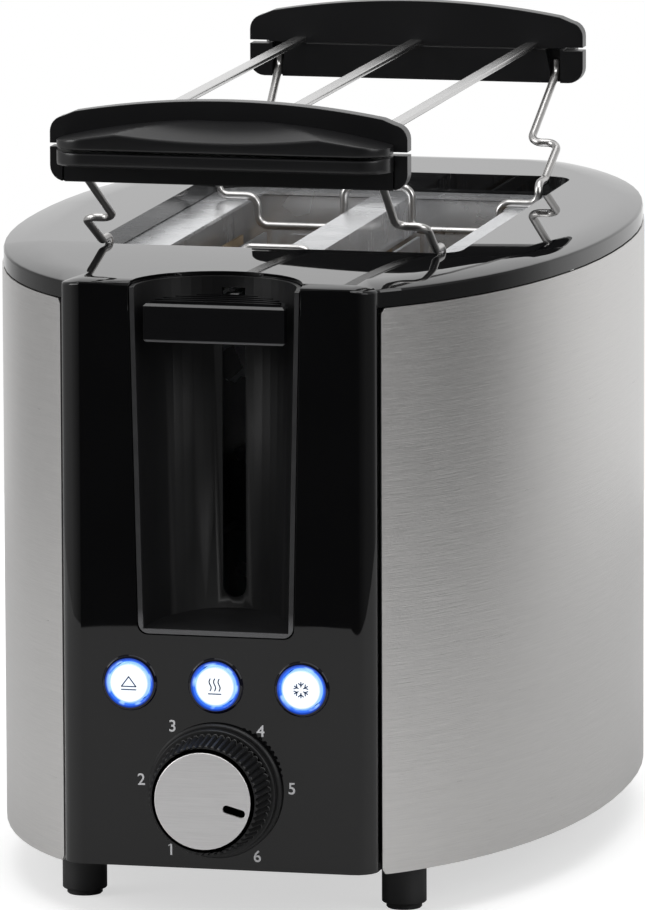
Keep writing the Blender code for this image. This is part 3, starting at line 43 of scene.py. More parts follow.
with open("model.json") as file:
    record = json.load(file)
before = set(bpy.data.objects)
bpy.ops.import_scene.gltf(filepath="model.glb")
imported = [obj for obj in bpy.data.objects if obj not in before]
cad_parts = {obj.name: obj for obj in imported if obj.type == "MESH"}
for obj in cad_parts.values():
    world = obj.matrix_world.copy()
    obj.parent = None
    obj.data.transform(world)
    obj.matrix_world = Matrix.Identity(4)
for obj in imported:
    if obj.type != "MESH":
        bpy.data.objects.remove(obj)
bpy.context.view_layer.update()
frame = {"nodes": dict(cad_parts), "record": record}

# Places taken from the frame
SHELL_LOW, SHELL_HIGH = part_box("housing")
FRONT = SHELL_LOW.y
REAR = SHELL_HIGH.y
MID_Y = (FRONT + REAR) / 2
LID_TOP = SHELL_HIGH.z
CHANNEL_LOW, CHANNEL_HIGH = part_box("lever_channel")
KNOB_LOW, KNOB_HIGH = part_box("lever_knob")
DIAL_LOW, DIAL_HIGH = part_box("dial_knob")
DIAL_Z = (DIAL_LOW.z + DIAL_HIGH.z) / 2
FLANGE_LOW, FLANGE_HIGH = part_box("chamber_top_flange")
UPPER_LOW, UPPER_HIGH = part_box("rack_handle_front_upper")
LOWER_LOW, LOWER_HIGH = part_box("rack_handle_front_lower")
SEAM_Z = (UPPER_LOW.z + LOWER_HIGH.z) / 2
SEAM_HALF = 0.0004

MERGE = 1e-6
NEAR = MERGE * 10
OVER = 0.001  # how far a cutter reaches past a face
SHARP = 30.0  # degrees between faces from which an edge is drawn sharp
FULL_TURN = 2 * math.pi

# Route of a rack leg from its handle down to the flange and in: (x, distance from the middle, z)
LEG_REST = FLANGE_HIGH.z + 0.0015
LEG_ROUTE = ((0.0432, 0.1203, 0.2150), (0.0432, 0.1203, 0.2112), (0.0412, 0.0910, 0.1935),
             (0.0501, 0.0910, 0.1935), (0.0491, 0.0745, 0.1846), (0.0491, 0.0658, 0.1846),
             (0.0491, 0.0658, LEG_REST), (0.0370, 0.0658, LEG_REST), (0.0370, 0.0658, 0.1695))
HUMP_ROUTE = ((0.0104, 0.0658, 0.1695), (0.0104, 0.0658, 0.1824))

# Numbers round the dial and where they stand, in degrees from the right
DIGITS = ((1, -127.0), (2, 174.0), (3, 125.0), (4, 53.0), (5, 3.5), (6, -57.4))

# Light round the stage: (degrees from the front towards the right, brightness), near the horizon
# and well above or below it
NEAR_LEVELS = ((-180, 0.85), (-165, 0.95), (-150, 0.70), (-133, 0.40), (-107, 0.38), (-80, 0.50),
               (-55, 0.50), (-36, 0.16), (-22, 0.02), (0, 0.015), (22, 0.02), (42, 0.08), (65, 0.16),
               (95, 0.16), (116, 0.18), (128, 0.40), (140, 0.70), (152, 0.85), (180, 0.85))
STEEP_LEVELS = ((-180, 0.85), (-160, 0.85), (-140, 0.60), (-110, 0.50), (-80, 0.55), (-50, 0.55),
                (-25, 0.30), (0, 0.25), (30, 0.30), (60, 0.60), (85, 0.55), (105, 0.42), (119, 0.30),
                (128, 0.42), (135, 0.55), (150, 0.70), (165, 0.80), (180, 0.85))

# Finish of each material slot, and of the nodes that have another, by the start of their names
SLOT_FINISHES = {"zinc": "zinc_sheet", "chrome": "wire_chrome", "rubber": "foot_black", "mica": "mica_sheet",
                 "matte_black": "matte_black", "dark_iron": "dark_iron", "board_green": "board_green",
                 "gloss_black": "gloss_black", "brushed_steel": "brushed_steel", "white": "digit_white",
                 "light_blue": "mark_blue"}
# The carriage parts take a near black steel, painted shade for the dark inside of the lever slot.
NODE_FINISHES = {"heat_tinted": ("bread_guide", "bread_lifter"), "pale_zinc": ("lever_arm",),
                 "oiled_steel": ("carriage_bracket", "armature_plate", "holding_magnet", "guide_rod",
                                 "return_spring")}

FLOOR_RADIUS = 0.605
AIM_HEIGHT = 0.1

# Soft boxes: (name, place, width in metres, power in watts)
SOFT_BOXES = (("top", (0.1, -0.2, 1.5), 1.3, 14.0), ("left", (-1.5, -0.9, 0.9), 1.0, 12.0),
              ("right", (1.6, -0.7, 0.9), 1.0, 8.0))


def length(label, text, default):
    """A size in metres."""
    return bpy.props.FloatProperty(
        name=label, description=text, default=default, precision=5, unit="LENGTH"
    )


def tint(label, text, default):
    """A colour."""
    return bpy.props.FloatVectorProperty(
        name=label, description=text, default=default, size=3, min=0.0, max=1.0, subtype="COLOR"
    )


class ToasterSizes(bpy.types.PropertyGroup):
    """Sizes of the finished pieces that the frame leaves open."""

    shell_round: length("Shell edge", "Rounding of the moulding's cut edges", 0.0004)
    rim_round: length("Channel rim", "Rounding of the lever channel's front rim", 0.0011)
    channel_wall: length("Channel wall", "Wall thickness of the lever channel", 0.0013)
    foot_step: length("Foot step", "Height of a foot's narrow tip", 0.0017)
    foot_edge: length("Foot edge", "Chamfer round a foot's tip", 0.0004)
    foot_shoulder: length("Foot shoulder", "Chamfer above a foot's step", 0.0003)
    ring_bore: length("Ring bore", "Inner radius of a button's ring", 0.0061)
    ring_wall: length("Ring wall", "Inner radius of a ring's hidden foot", 0.0068)
    ring_proud: length("Ring crest", "Height of a ring's crest before the panel", 0.0008)
    flat_radius: length("Button flat", "Radius of the flat middle of a button", 0.0030)
    plunger: length("Plunger", "Radius of the pin behind a button", 0.0022)
    plunger_start: length("Plunger start", "Depth at which a button's pin starts", 0.0040)
    digit_height: length("Digit height", "Height of the numbers round the dial", 0.0033)
    digit_circle: length("Digit circle", "Radius of the circle that the numbers stand on", 0.0220)
    print_depth: length("Print depth", "Thickness of printed marks", 0.00006)
    rib_height: length("Rib height", "Height of the ribs on the lever", 0.0006)
    rib_pitch: length("Rib pitch", "Distance between the ribs on the lever", 0.0036)
    flute_depth: length("Flute depth", "Depth of the dial's flutes", 0.0009)
    dial_skirt: length("Dial skirt", "Height of the smooth ring at the dial's foot", 0.0024)
    dial_waist: length("Dial waist", "Step from the skirt to the fluted body", 0.0013)
    dial_taper: length("Dial taper", "How much narrower the fluted body is at its front", 0.0012)
    cap_edge: length("Cap edge", "Rounding of the dial's metal cap", 0.0002)
    wire_radius: length("Wire radius", "Radius of the rack's wires", 0.0012)
    wire_bend: length("Wire bend", "Bend radius of the rack's wires", 0.0034)
    strip_round: length("Strip edge", "Rounding of the rack strips' edges", 0.0004)
    plate_round: length("Handle edge", "Rounding of the rack handles' edges", 0.0006)
    handle_place: length("Handle place", "Distance of a handle's plate from the middle", 0.1203)
    handle_thick: length("Handle thickness", "Thickness of a handle's plate", 0.0050)
    handle_corner: length("Handle corner", "Radius of a handle plate's corners", 0.0045)
    seam_run: length("Seam run", "Length of the open seam at each end of a handle", 0.0060)
    seam_end: length("Open seam", "Gap between a handle's halves at its ends", 0.0010)
    seam_mid: length("Closed seam", "Gap between a handle's halves between the ends", 0.0003)
    ribbon_width: length("Ribbon width", "Width of the heating ribbon", 0.0012)
    ribbon_thick: length("Ribbon thickness", "Thickness of the heating ribbon", 0.00025)


class ToasterColours(bpy.types.PropertyGroup):
    """Colours of the finishes."""

    gloss: tint("Gloss black", "Lid, front panel and dial ring", (0.0034, 0.0034, 0.0037))
    matte: tint("Matte black", "Channel, rack handles and dial", (0.0070, 0.0070, 0.0076))
    # A grey painted into the lever's lower edge and the channel's rim: a painted highlight.
    worn: tint("Edge highlight", "Painted highlight on the lever's lower edge and the channel's rim", (0.16, 0.16, 0.165))
    steel: tint("Steel", "Brushed side panels", (0.66, 0.65, 0.64))
    zinc: tint("Zinc", "Chamber sheet", (0.80, 0.81, 0.83))
    chrome: tint("Chrome", "Rack wires and strips", (0.62, 0.61, 0.60))
    glow: tint("Glow", "Light of the button rings", (0.030, 0.15, 0.80))
    face: tint("Button face", "Lit faces of the buttons", (0.90, 0.95, 1.0))
    mark: tint("Button mark", "Pictograms on the buttons", (0.06, 0.11, 0.24))
    digit: tint("Digits", "Numbers round the dial", (0.80, 0.80, 0.82))


def sizes():
    """Sizes in the panel."""
    return bpy.context.scene.toaster_sizes


def colours():
    """Colours in the panel."""
    return bpy.context.scene.toaster_colours


class Value:
    """A number or vector in a node tree, with the sums that a pattern needs."""

    def __init__(self, nodes, socket):
        self.nodes = nodes
        self.socket = socket

    def __add__(self, other):
        return self.nodes.maths("ADD", self, other)

    def __radd__(self, other):
        return self.nodes.maths("ADD", other, self)

    def __sub__(self, other):
        return self.nodes.maths("SUBTRACT", self, other)

    def __rsub__(self, other):
        return self.nodes.maths("SUBTRACT", other, self)

    def __mul__(self, other):
        return self.nodes.maths("MULTIPLY", self, other)

    def __rmul__(self, other):
        return self.nodes.maths("MULTIPLY", other, self)

    def __pow__(self, other):
        return self.nodes.maths("POWER", self, other)


class Nodes:
    """A node tree and the few ways in which its nodes are made."""

    def __init__(self, tree):
        self.tree = tree

    def put(self, socket, value):
        if isinstance(value, Value):
            self.tree.links.new(value.socket, socket)
        else:
            socket.default_value = value

    def node(self, kind, settings=None, values=None, output=0):
        """Adds a node: settings are its own options, values its sockets' numbers or links."""
        made = self.tree.nodes.new(kind)
        for key, value in (settings or {}).items():
            setattr(made, key, value)
        for key, value in (values or {}).items():
            self.put(made.inputs[key], value)
        return Value(self, made.outputs[output])

    def maths(self, operation, *values):
        return self.node("ShaderNodeMath", {"operation": operation}, dict(enumerate(values)))

    def axis(self, spot, index):
        """One coordinate of a place: 0, 1 or 2."""
        return self.node("ShaderNodeSeparateXYZ", None, {0: spot}, index)

    def spread(self, value, low, high):
        """Maps low..high to 0..1 and holds it there."""
        return self.node("ShaderNodeMapRange", {"clamp": True}, {"Value": value, 1: low, 2: high})

    def ramp(self, value, stops):
        """Grey level through the stops (place, level)."""
        made = self.tree.nodes.new("ShaderNodeValToRGB")
        for place, _level in stops[1:-1]:
            made.color_ramp.elements.new(place)
        for element, (place, level) in zip(made.color_ramp.elements, stops):
            element.position = place
            element.color = (level, level, level, 1.0)
        self.put(made.inputs[0], value)
        return Value(self, made.outputs[0])


class Finish(Nodes):
    """One material: a Principled shader and the nodes that drive it."""

    def __init__(self, name, colour, roughness, metallic=0.0, **sockets):
        self.material = bpy.data.materials.new("finish_" + name)
        self.material.use_nodes = True
        super().__init__(self.material.node_tree)
        self.shader = self.tree.nodes["Principled BSDF"]
        self.drive("Base Color", (*colour, 1.0))
        self.drive("Roughness", roughness)
        self.drive("Metallic", metallic)
        for socket, value in sockets.items():
            self.drive(socket.replace("_", " ").title(), value)
        self.material.diffuse_color = (*colour, 1.0)

    def drive(self, socket, value):
        self.put(self.shader.inputs[socket], value)

    def place(self, scale=(1, 1, 1), centre=(0, 0, 0), turn=(0, 0, 0)):
        """Object coordinates about a centre, turned and scaled."""
        spot = self.node("ShaderNodeTexCoord", output="Object")
        away = self.node("ShaderNodeVectorMath", {"operation": "SUBTRACT"}, {0: spot, 1: centre})
        return self.node("ShaderNodeMapping", None, {"Vector": away, "Rotation": turn, "Scale": scale})

    def noise(self, spot, scale, detail=2.0):
        values = {"Vector": spot, "Scale": scale, "Detail": detail}
        return self.node("ShaderNodeTexNoise", None, values, "Fac")

    def radius(self, centre, flat):
        """Distance from a centre across the plane that the flat mask leaves."""
        spot = self.place(scale=flat, centre=centre)
        return self.node("ShaderNodeVectorMath", {"operation": "LENGTH"}, {0: spot}, "Value")

    def blend(self, share, first, second):
        values = {0: share, 6: self.colour(first), 7: self.colour(second)}
        return self.node("ShaderNodeMix", {"data_type": "RGBA"}, values, 2)

    def colour(self, value):
        return value if isinstance(value, Value) else (*value[:3], 1.0)

    def bump(self, height, strength, distance):
        values = {"Height": height, "Strength": strength, "Distance": distance}
        self.drive("Normal", self.node("ShaderNodeBump", None, values))


def shade(colour, factor):
    """The colour made lighter or darker."""
    return tuple(min(1.0, part * factor) for part in colour)


FINISHES = {}


def listed(make):
    """Keeps a finish's function under its own name."""
    FINISHES[make.__name__] = make
    return make


@listed
def gloss_black():
    """Gloss moulding that sinks slightly towards the front edge of the lid."""
    gloss = colours().gloss
    finish = Finish("gloss_black", gloss, 0.015)
    haze = finish.noise(finish.place(), 40.0, 3.0)
    finish.drive("Roughness", 0.006 + haze * 0.02)
    finish.drive("Base Color", finish.blend(haze, shade(gloss, 0.8), shade(gloss, 1.25)))
    level_end, drop = FLANGE_LOW.y + 0.008, 0.0020
    slump = finish.spread(finish.axis(finish.place(), 1), level_end, FRONT)
    finish.bump(1.0 - slump ** 1.3, 1.0, drop)
    return finish.material


@listed
def lever_black():
    """Gloss black with a painted highlight: the lower edge is painted grey and made rougher."""
    gloss = shade(colours().gloss, 1.8)
    finish = Finish("lever_black", gloss, 0.10)
    spot = finish.place()
    height = finish.axis(spot, 2)
    # Painted highlight along the lower edge: this mask fades in towards the bottom and blends the gloss to
    # the highlight grey.
    unlit_above, highlit_below = KNOB_LOW.z + 0.0008, KNOB_LOW.z + 0.0005
    lower_edge_highlight = finish.spread(height, unlit_above, highlit_below)
    haze = finish.noise(spot, 160.0, 3.0)
    finish.drive("Base Color", finish.blend(lower_edge_highlight * (0.7 + haze * 0.5), gloss, colours().worn))
    finish.drive("Roughness", 0.06 + haze * 0.10 + lower_edge_highlight * 0.2)
    return finish.material


def grained(name, colour, roughness, grain=1500.0, strength=0.25):
    """Moulded plastic with a fine grain and a little wear in its sheen."""
    finish = Finish(name, colour, roughness)
    spot = finish.place()
    fine = finish.noise(spot, grain, 2.0)
    wide = finish.noise(spot, 30.0, 3.0)
    finish.drive("Roughness", roughness - 0.06 + wide * 0.12)
    finish.drive("Base Color", finish.blend(wide, shade(colour, 0.9), shade(colour, 1.15)))
    finish.bump(fine, strength, 0.00008)
    return finish.material


def mottled(name, first, second, roughness, grain, detail, metallic=0.0, bump=None):
    """Two tones mixed by one noise, which also moves the roughness between two values."""
    smooth, rough = roughness
    finish = Finish(name, second, smooth, metallic)
    tone = finish.noise(finish.place(), grain, detail)
    finish.drive("Base Color", finish.blend(tone, first, second))
    finish.drive("Roughness", smooth + tone * (rough - smooth))
    if bump:
        finish.bump(tone, *bump)
    return finish.material


@listed
def matte_black():
    return grained("matte_black", colours().matte, 0.42)


@listed
def handle_black():
    return grained("handle_black", colours().matte, 0.30, 900.0, 0.12)


@listed
def knob_black():
    return grained("knob_black", shade(colours().matte, 0.7), 0.48, 1500.0, 0.15)


@listed
def foot_black():
    return grained("foot_black", shade(colours().matte, 1.1), 0.5)


def brushed(name, colour, roughness, along, turn=(0, 0, 0), centre=(0, 0, 0), depth=0.00004):
    """Brushed metal: fine lines that run far along one way and change fast across it."""
    finish = Finish(name, colour, roughness, 1.0)
    fine, broad = [finish.noise(finish.place(line_scale(across, slow, along), centre, turn), 1.0, detail)
                   for across, slow, detail in ((4200.0, 110.0, 3.0), (1050.0, 22.0, 2.0))]
    both = fine * 0.7 + broad * 0.3
    finish.drive("Base Color", finish.blend(both, shade(colour, 0.88), shade(colour, 1.12)))
    finish.drive("Roughness", roughness - 0.06 + both * 0.12)
    finish.bump(both, 0.35, depth)
    return finish.material


def line_scale(across, slow, along):
    """Noise scale that runs slowly along some axes and fast across the others."""
    return tuple(slow if axis in along else across for axis in "XYZ")


@listed
def brushed_steel():
    return brushed("brushed_steel", colours().steel, 0.30, "XY", depth=0.00016)


@listed
def brushed_disc():
    tilt = math.radians(6)
    return brushed("brushed_disc", (0.84, 0.83, 0.83), 0.42, "X", (0, tilt, 0), (0, 0, DIAL_Z))


@listed
def strip_steel():
    return brushed("strip_steel", (0.66, 0.655, 0.65), 0.24, "Y")


@listed
def wire_chrome():
    finish = Finish("wire_chrome", colours().chrome, 0.28, 1.0)
    wide = finish.noise(finish.place(), 160.0, 3.0)
    finish.drive("Roughness", 0.22 + wide * 0.14)
    finish.drive("Base Color", finish.blend(wide, shade(colours().chrome, 0.92), colours().chrome))
    finish.bump(finish.noise(finish.place(), 900.0, 2.0), 0.05, 0.00003)
    return finish.material


@listed
def zinc_sheet():
    finish = Finish("zinc_sheet", colours().zinc, 0.24, 0.75)
    spot = finish.place()
    cells = {"Vector": spot, "Scale": 140.0}
    flake = finish.node("ShaderNodeTexVoronoi", {"feature": "F1"}, cells, "Color")
    tone = finish.node("ShaderNodeSeparateColor", None, {0: flake}, 0)
    rolled = finish.noise(finish.place(scale=(60, 1800, 60)), 1.0, 3.0)
    zinc = colours().zinc
    finish.drive("Base Color", finish.blend(tone * 0.6 + rolled * 0.4, shade(zinc, 0.90), zinc))
    finish.drive("Roughness", 0.16 + tone * 0.08 + rolled * 0.08)
    finish.bump(rolled, 0.2, 0.00004)
    return finish.material


@listed
def heat_tinted():
    """Spring steel near the elements, straw coloured by heat towards the middle of the slot."""
    finish = Finish("heat_tinted", colours().zinc, 0.3, 1.0)
    height = finish.axis(finish.place(), 2)
    cool_above, warm_below = 0.165, 0.110
    warm = finish.spread(height, cool_above, warm_below)
    mottle = finish.noise(finish.place(), 60.0, 4.0)
    finish.drive("Base Color", finish.blend(warm * mottle, colours().zinc, (0.50, 0.36, 0.22)))
    finish.drive("Roughness", 0.25 + mottle * 0.15)
    return finish.material


@listed
def mica_sheet():
    """Flaky sheets that carry the heating ribbon."""
    base = (0.36, 0.27, 0.17)
    return mottled("mica_sheet", shade(base, 0.55), shade(base, 1.5), (0.35, 0.70), 140.0, 4.0,
                   bump=(0.2, 0.0001))


@listed
def heating_ribbon():
    return mottled("heating_ribbon", (0.16, 0.14, 0.13), (0.38, 0.33, 0.29), (0.35, 0.55), 220.0, 3.0, 1.0)


@listed
def dark_iron():
    return grained("dark_iron", (0.09, 0.09, 0.10), 0.5, 600.0, 0.4)


@listed
def oiled_steel():
    """Steel of the carriage, painted near black as painted shade where the slot shows it."""
    return grained("oiled_steel", (0.004, 0.004, 0.0045), 0.6, 300.0, 0.3)


@listed
def pale_zinc():
    """Bare end of the lever arm."""
    return mottled("pale_zinc", (0.80, 0.80, 0.81), (0.90, 0.90, 0.91), (0.45, 0.45), 300.0, 2.0, 0.2)


@listed
def channel_black():
    """Matte black with a painted highlight: the rim of the mouth is painted paler, palest along its foot."""
    matte = colours().matte
    finish = Finish("channel_black", matte, 0.42)
    spot = finish.place()
    depth = finish.axis(spot, 1)
    height = finish.axis(spot, 2)
    # Painted highlight: the rim mask at the front face and the foot mask near the bottom blend the matte
    # towards the highlight grey.
    rim_highlight_back, rim_highlight_front = FRONT + 0.0009, FRONT + 0.0004
    foot_highlight_top, foot_highlight_low = CHANNEL_LOW.z + 0.007, CHANNEL_LOW.z + 0.003
    rim = finish.spread(depth, rim_highlight_back, rim_highlight_front)
    foot = finish.spread(height, foot_highlight_top, foot_highlight_low)
    haze = finish.noise(spot, 220.0, 2.0)
    finish.drive("Base Color", finish.blend(rim * (0.10 + foot * 0.55 + haze * 0.1), matte, colours().worn))
    finish.drive("Roughness", 0.36 + haze * 0.12 - rim * 0.1)
    finish.bump(finish.noise(spot, 1500.0, 2.0), 0.12, 0.00006)
    return finish.material


@listed
def board_green():
    green = (0.02, 0.14, 0.06)
    finish = Finish("board_green", green, 0.4)
    tracks = {"Vector": finish.place(scale=(260, 1, 260)), "Scale": 1.0, "Mortar Size": 0.06}
    track = finish.node("ShaderNodeTexBrick", {"offset": 0.5}, tracks, "Fac")
    finish.drive("Base Color", finish.blend(track, green, (0.05, 0.26, 0.12)))
    finish.drive("Roughness", 0.35 + track * 0.1)
    return finish.material


def lit_ring(name, centre):
    """Translucent ring with glints, deep blue outside and black at its edge."""
    glow = colours().glow
    black = colours().gloss
    finish = Finish(name, shade(glow, 0.3), 0.06, emission_strength=1.0)
    out = finish.radius(centre, (1, 0, 1))
    swirl = finish.noise(finish.place(scale=(1, 0, 1)), 210.0, 1.0)
    deep_from, deep_to, black_from, black_to = 0.0063, 0.0068, 0.0069, 0.0072
    outer = finish.spread(out, deep_from, deep_to)
    edge = finish.spread(out, black_from, black_to)
    glint = finish.spread(swirl, 0.52, 0.60) * (1.0 - outer)
    body = finish.blend(outer, glow, (0.0015, 0.030, 0.34))
    body = finish.blend(glint * 0.8, body, (0.42, 0.68, 1.0))
    finish.drive("Emission Color", finish.blend(edge, body, (0.0, 0.0, 0.003)))
    finish.drive("Base Color", finish.blend(edge, shade(glow, 0.3), black))
    return finish.material


def lit_face(name, centre):
    """White button face, lit from behind and bluer towards its rim."""
    face = colours().face
    finish = Finish(name, shade(face, 0.35), 0.18, emission_strength=1.0)
    out = finish.radius(centre, (1, 0, 1))
    white_to, blue_from = 0.0051, 0.0056
    share = finish.spread(out, white_to, blue_from)
    finish.drive("Emission Color", finish.blend(share, face, (0.30, 0.52, 1.0)))
    finish.drive("Base Color", finish.blend(share, shade(face, 0.35), (0.1, 0.2, 0.5)))
    return finish.material


def printed(name, colour):
    return mottled(name, shade(colour, 0.92), shade(colour, 1.05), (0.5, 0.5), 700.0, 2.0)


@listed
def digit_white():
    return printed("digit_white", colours().digit)


@listed
def mark_blue():
    return printed("mark_blue", colours().mark)


def finish_of(name):
    """The finish, made when it is first asked for."""
    return bpy.data.materials.get("finish_" + name) or FINISHES[name]()


def placed(name, data):
    """The data as an object in the scene."""
    item = bpy.data.objects.new(name, data)
    bpy.context.scene.collection.objects.link(item)
    return item


def settled(bm, name="part"):
    """Mesh of a bmesh, which is then freed."""
    mesh = bpy.data.meshes.new(name)
    bm.to_mesh(mesh)
    bm.free()
    return mesh


def add_piece(name, bm, finish, body, nodes=()):
    """Makes a mesh a named piece that rides on a body and may stand for CAD nodes."""
    mesh = settled(bm, name)
    mesh.shade_smooth()
    mesh.set_sharp_from_angle(angle=math.radians(SHARP))
    mesh.materials.append(finish_of(finish))
    piece = placed(name, mesh)
    even = piece.modifiers.new("even_normals", "WEIGHTED_NORMAL")
    even.keep_sharp = True
    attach(piece, body)
    if nodes:
        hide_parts(*nodes)


def from_node(node):
    """Copy of a CAD node with its triangles joined."""
    flat = math.radians(0.5)
    bm = bmesh.new()
    bm.from_mesh(frame["nodes"][node].data)
    bmesh.ops.remove_doubles(bm, verts=bm.verts, dist=MERGE)
    bmesh.ops.dissolve_limit(bm, angle_limit=flat, verts=bm.verts, edges=bm.edges)
    return bm


def drawn(points):
    """One face through the points, in a new mesh."""
    bm = bmesh.new()
    bm.faces.new([bm.verts.new(point) for point in points])
    return bm


def prism(points, pull):
    """Closed solid from an outline pulled along a vector."""
    bm = drawn(points)
    out = bmesh.ops.extrude_face_region(bm, geom=list(bm.faces))
    moved = [item for item in out["geom"] if isinstance(item, bmesh.types.BMVert)]
    bmesh.ops.translate(bm, verts=moved, vec=pull)
    bmesh.ops.recalc_face_normals(bm, faces=bm.faces)
    return bm


def block(low, high):
    """Box between two corners."""
    low, high = Vector(low), Vector(high)
    bm = bmesh.new()
    bmesh.ops.create_cube(bm, size=1.0)
    bmesh.ops.scale(bm, verts=bm.verts, vec=high - low)
    bmesh.ops.translate(bm, verts=bm.verts, vec=(low + high) / 2)
    return bm


def soften(bm, offset, segments=2, angle=50.0, choose=None):
    """Rounds the edges that turn by more than the angle."""
    limit = math.radians(angle)
    edges = []
    for edge in bm.edges:
        if len(edge.link_faces) == 2 and edge.calc_face_angle(0.0) > limit:
            if choose is None or choose(edge):
                edges.append(edge)
    bmesh.ops.bevel(bm, geom=edges, offset=offset, offset_type="OFFSET", segments=segments,
                    profile=0.5, affect="EDGES", clamp_overlap=True, material=-1)
    return bm


def merged(*parts):
    """All the parts' shells in the first one."""
    whole = parts[0]
    for part in parts[1:]:
        mesh = settled(part)
        whole.from_mesh(mesh)
        bpy.data.meshes.remove(mesh)
    return whole


def carved(bm, cutter):
    """The mesh with the cutter's space taken out of it."""
    whole, tool = [placed("part", settled(part)) for part in (bm, cutter)]
    cut = whole.modifiers.new("cut", "BOOLEAN")
    cut.operation = "DIFFERENCE"
    cut.solver = "EXACT"
    cut.object = tool
    result = bmesh.new()
    result.from_mesh(whole.evaluated_get(bpy.context.evaluated_depsgraph_get()).to_mesh())
    for item in (whole, tool):
        mesh = item.data
        bpy.data.objects.remove(item)
        bpy.data.meshes.remove(mesh)
    return result


def turned(profile, centre, axis, steps=64, closed=False):
    """Spins (radius, height) pairs about an axis. A closed profile makes a ring."""
    centre, axis = Vector(centre), Vector(axis)
    side = axis.orthogonal().normalized()
    bm = bmesh.new()
    verts = [bm.verts.new(centre + side * r + axis * h) for r, h in profile]
    pairs = list(zip(verts, verts[1:]))
    if closed:
        pairs.append((verts[-1], verts[0]))
    edges = [bm.edges.new(pair) for pair in pairs]
    bmesh.ops.spin(bm, geom=verts + edges, cent=centre, axis=axis, angle=FULL_TURN, steps=steps,
                   use_merge=True)
    bmesh.ops.remove_doubles(bm, verts=bm.verts, dist=MERGE)
    bmesh.ops.recalc_face_normals(bm, faces=bm.faces)
    return bm


def arc(centre, radius, start, end, steps):
    """Points (u, v) on an arc given in degrees."""
    points = []
    for k in range(steps + 1):
        a = math.radians(start + (end - start) * k / steps)
        points.append((centre[0] + radius * math.cos(a), centre[1] + radius * math.sin(a)))
    return points


def lofted(loops):
    """Bridges closed loops of points and closes both ends."""
    bm = bmesh.new()
    rings = []
    for loop in loops:
        verts = [bm.verts.new(point) for point in loop]
        rings.append([bm.edges.new((verts[i - 1], verts[i])) for i in range(len(verts))])
    for first, second in zip(rings, rings[1:]):
        bmesh.ops.bridge_loops(bm, edges=first + second)
    bmesh.ops.holes_fill(bm, edges=rings[0] + rings[-1], sides=0)
    bmesh.ops.recalc_face_normals(bm, faces=bm.faces)
    return bm


def bent(points, radius, steps=8):
    """Line through the points with each corner bent to the radius."""
    pts = [Vector(p) for p in points]
    out = [pts[0]]
    for i in range(1, len(pts) - 1):
        before, after = pts[i - 1] - pts[i], pts[i + 1] - pts[i]
        limit = min(before.length, after.length) / 2
        before.normalize()
        after.normalize()
        half = before.angle(after) / 2
        run = min(radius / math.tan(half), limit)
        bend = run * math.tan(half)
        centre = pts[i] + (before + after).normalized() * (bend / math.sin(half))
        start = pts[i] + before * run - centre
        end = pts[i] + after * run - centre
        turn = start.angle(end)
        axis = start.cross(end).normalized()
        for k in range(steps + 1):
            out.append(centre + Matrix.Rotation(turn * k / steps, 3, axis) @ start)
    out.append(pts[-1])
    return out


def tube(path, radius, sides=5):
    """Round wire along a path, from a curve made into a mesh."""
    curve = bpy.data.curves.new("wire", "CURVE")
    curve.dimensions = "3D"
    curve.bevel_depth = radius
    curve.bevel_resolution = sides
    curve.use_fill_caps = True
    spline = curve.splines.new("POLY")
    spline.points.add(len(path) - 1)
    for point, spot in zip(spline.points, path):
        point.co = (*spot, 1.0)
    bm = meshed(placed("wire", curve))
    bmesh.ops.remove_doubles(bm, verts=bm.verts, dist=MERGE)
    bmesh.ops.recalc_face_normals(bm, faces=bm.faces)
    return bm


def meshed(item):
    """Mesh of a curve or text object, which is then removed."""
    graph = bpy.context.evaluated_depsgraph_get()
    mesh = bpy.data.meshes.new_from_object(item.evaluated_get(graph))
    bm = bmesh.new()
    bm.from_mesh(mesh)
    data = item.data
    bpy.data.objects.remove(item)
    bpy.data.meshes.remove(mesh)
    bpy.data.curves.remove(data)
    return bm


def lettered(text, height, depth):
    """Upright text in the XZ plane round the origin, facing -Y, a little bolder than the font."""
    capital, bolder = 0.70, 0.012
    curve = bpy.data.curves.new("digit", "FONT")
    curve.body = text
    curve.size = height / capital
    curve.extrude = depth / 2
    curve.offset = height * bolder
    curve.align_x = "CENTER"
    curve.align_y = "CENTER"
    bm = meshed(placed("digit", curve))
    bmesh.ops.remove_doubles(bm, verts=bm.verts, dist=MERGE)
    middle = sum((v.co for v in bm.verts), Vector()) / len(bm.verts)
    low = min(v.co.y for v in bm.verts)
    high = max(v.co.y for v in bm.verts)
    bmesh.ops.translate(bm, verts=bm.verts, vec=(-middle.x, -(low + high) / 2, 0))
    bmesh.ops.rotate(bm, verts=bm.verts, cent=(0, 0, 0), matrix=Matrix.Rotation(math.pi / 2, 3, "X"))
    return bm


class PieceOperator:
    """Shared by the operators that make pieces."""

    bl_options = {"REGISTER"}

    def execute(self, context):
        self.make(sizes())
        return {"FINISHED"}


class TOASTER_OT_shell(PieceOperator, bpy.types.Operator):
    """Lid with front and rear panels, and the steel sides"""

    bl_idname = "toaster.shell"
    bl_label = "Shell and Sides"

    def make(self, size):
        bm = from_node("housing")
        soften(bm, size.shell_round, 2, 55.0, self.is_rim)
        add_piece("moulded_shell", bm, "gloss_black", "body", ["housing"])
        for side in ("left", "right"):
            node = "side_panel_" + side
            add_piece("steel_side_" + side, from_node(node), "brushed_steel", "body",
                      [node])

    def is_rim(self, edge):
        """Edges round the opening and the channel, on the outside."""
        ends = [v.co for v in edge.verts]
        foot = CHANNEL_LOW.z - 0.002
        on_top = all(abs(p.z - LID_TOP) < NEAR for p in ends)
        on_front = all(abs(p.y - FRONT) < NEAR and p.z > foot for p in ends)
        return on_top or on_front


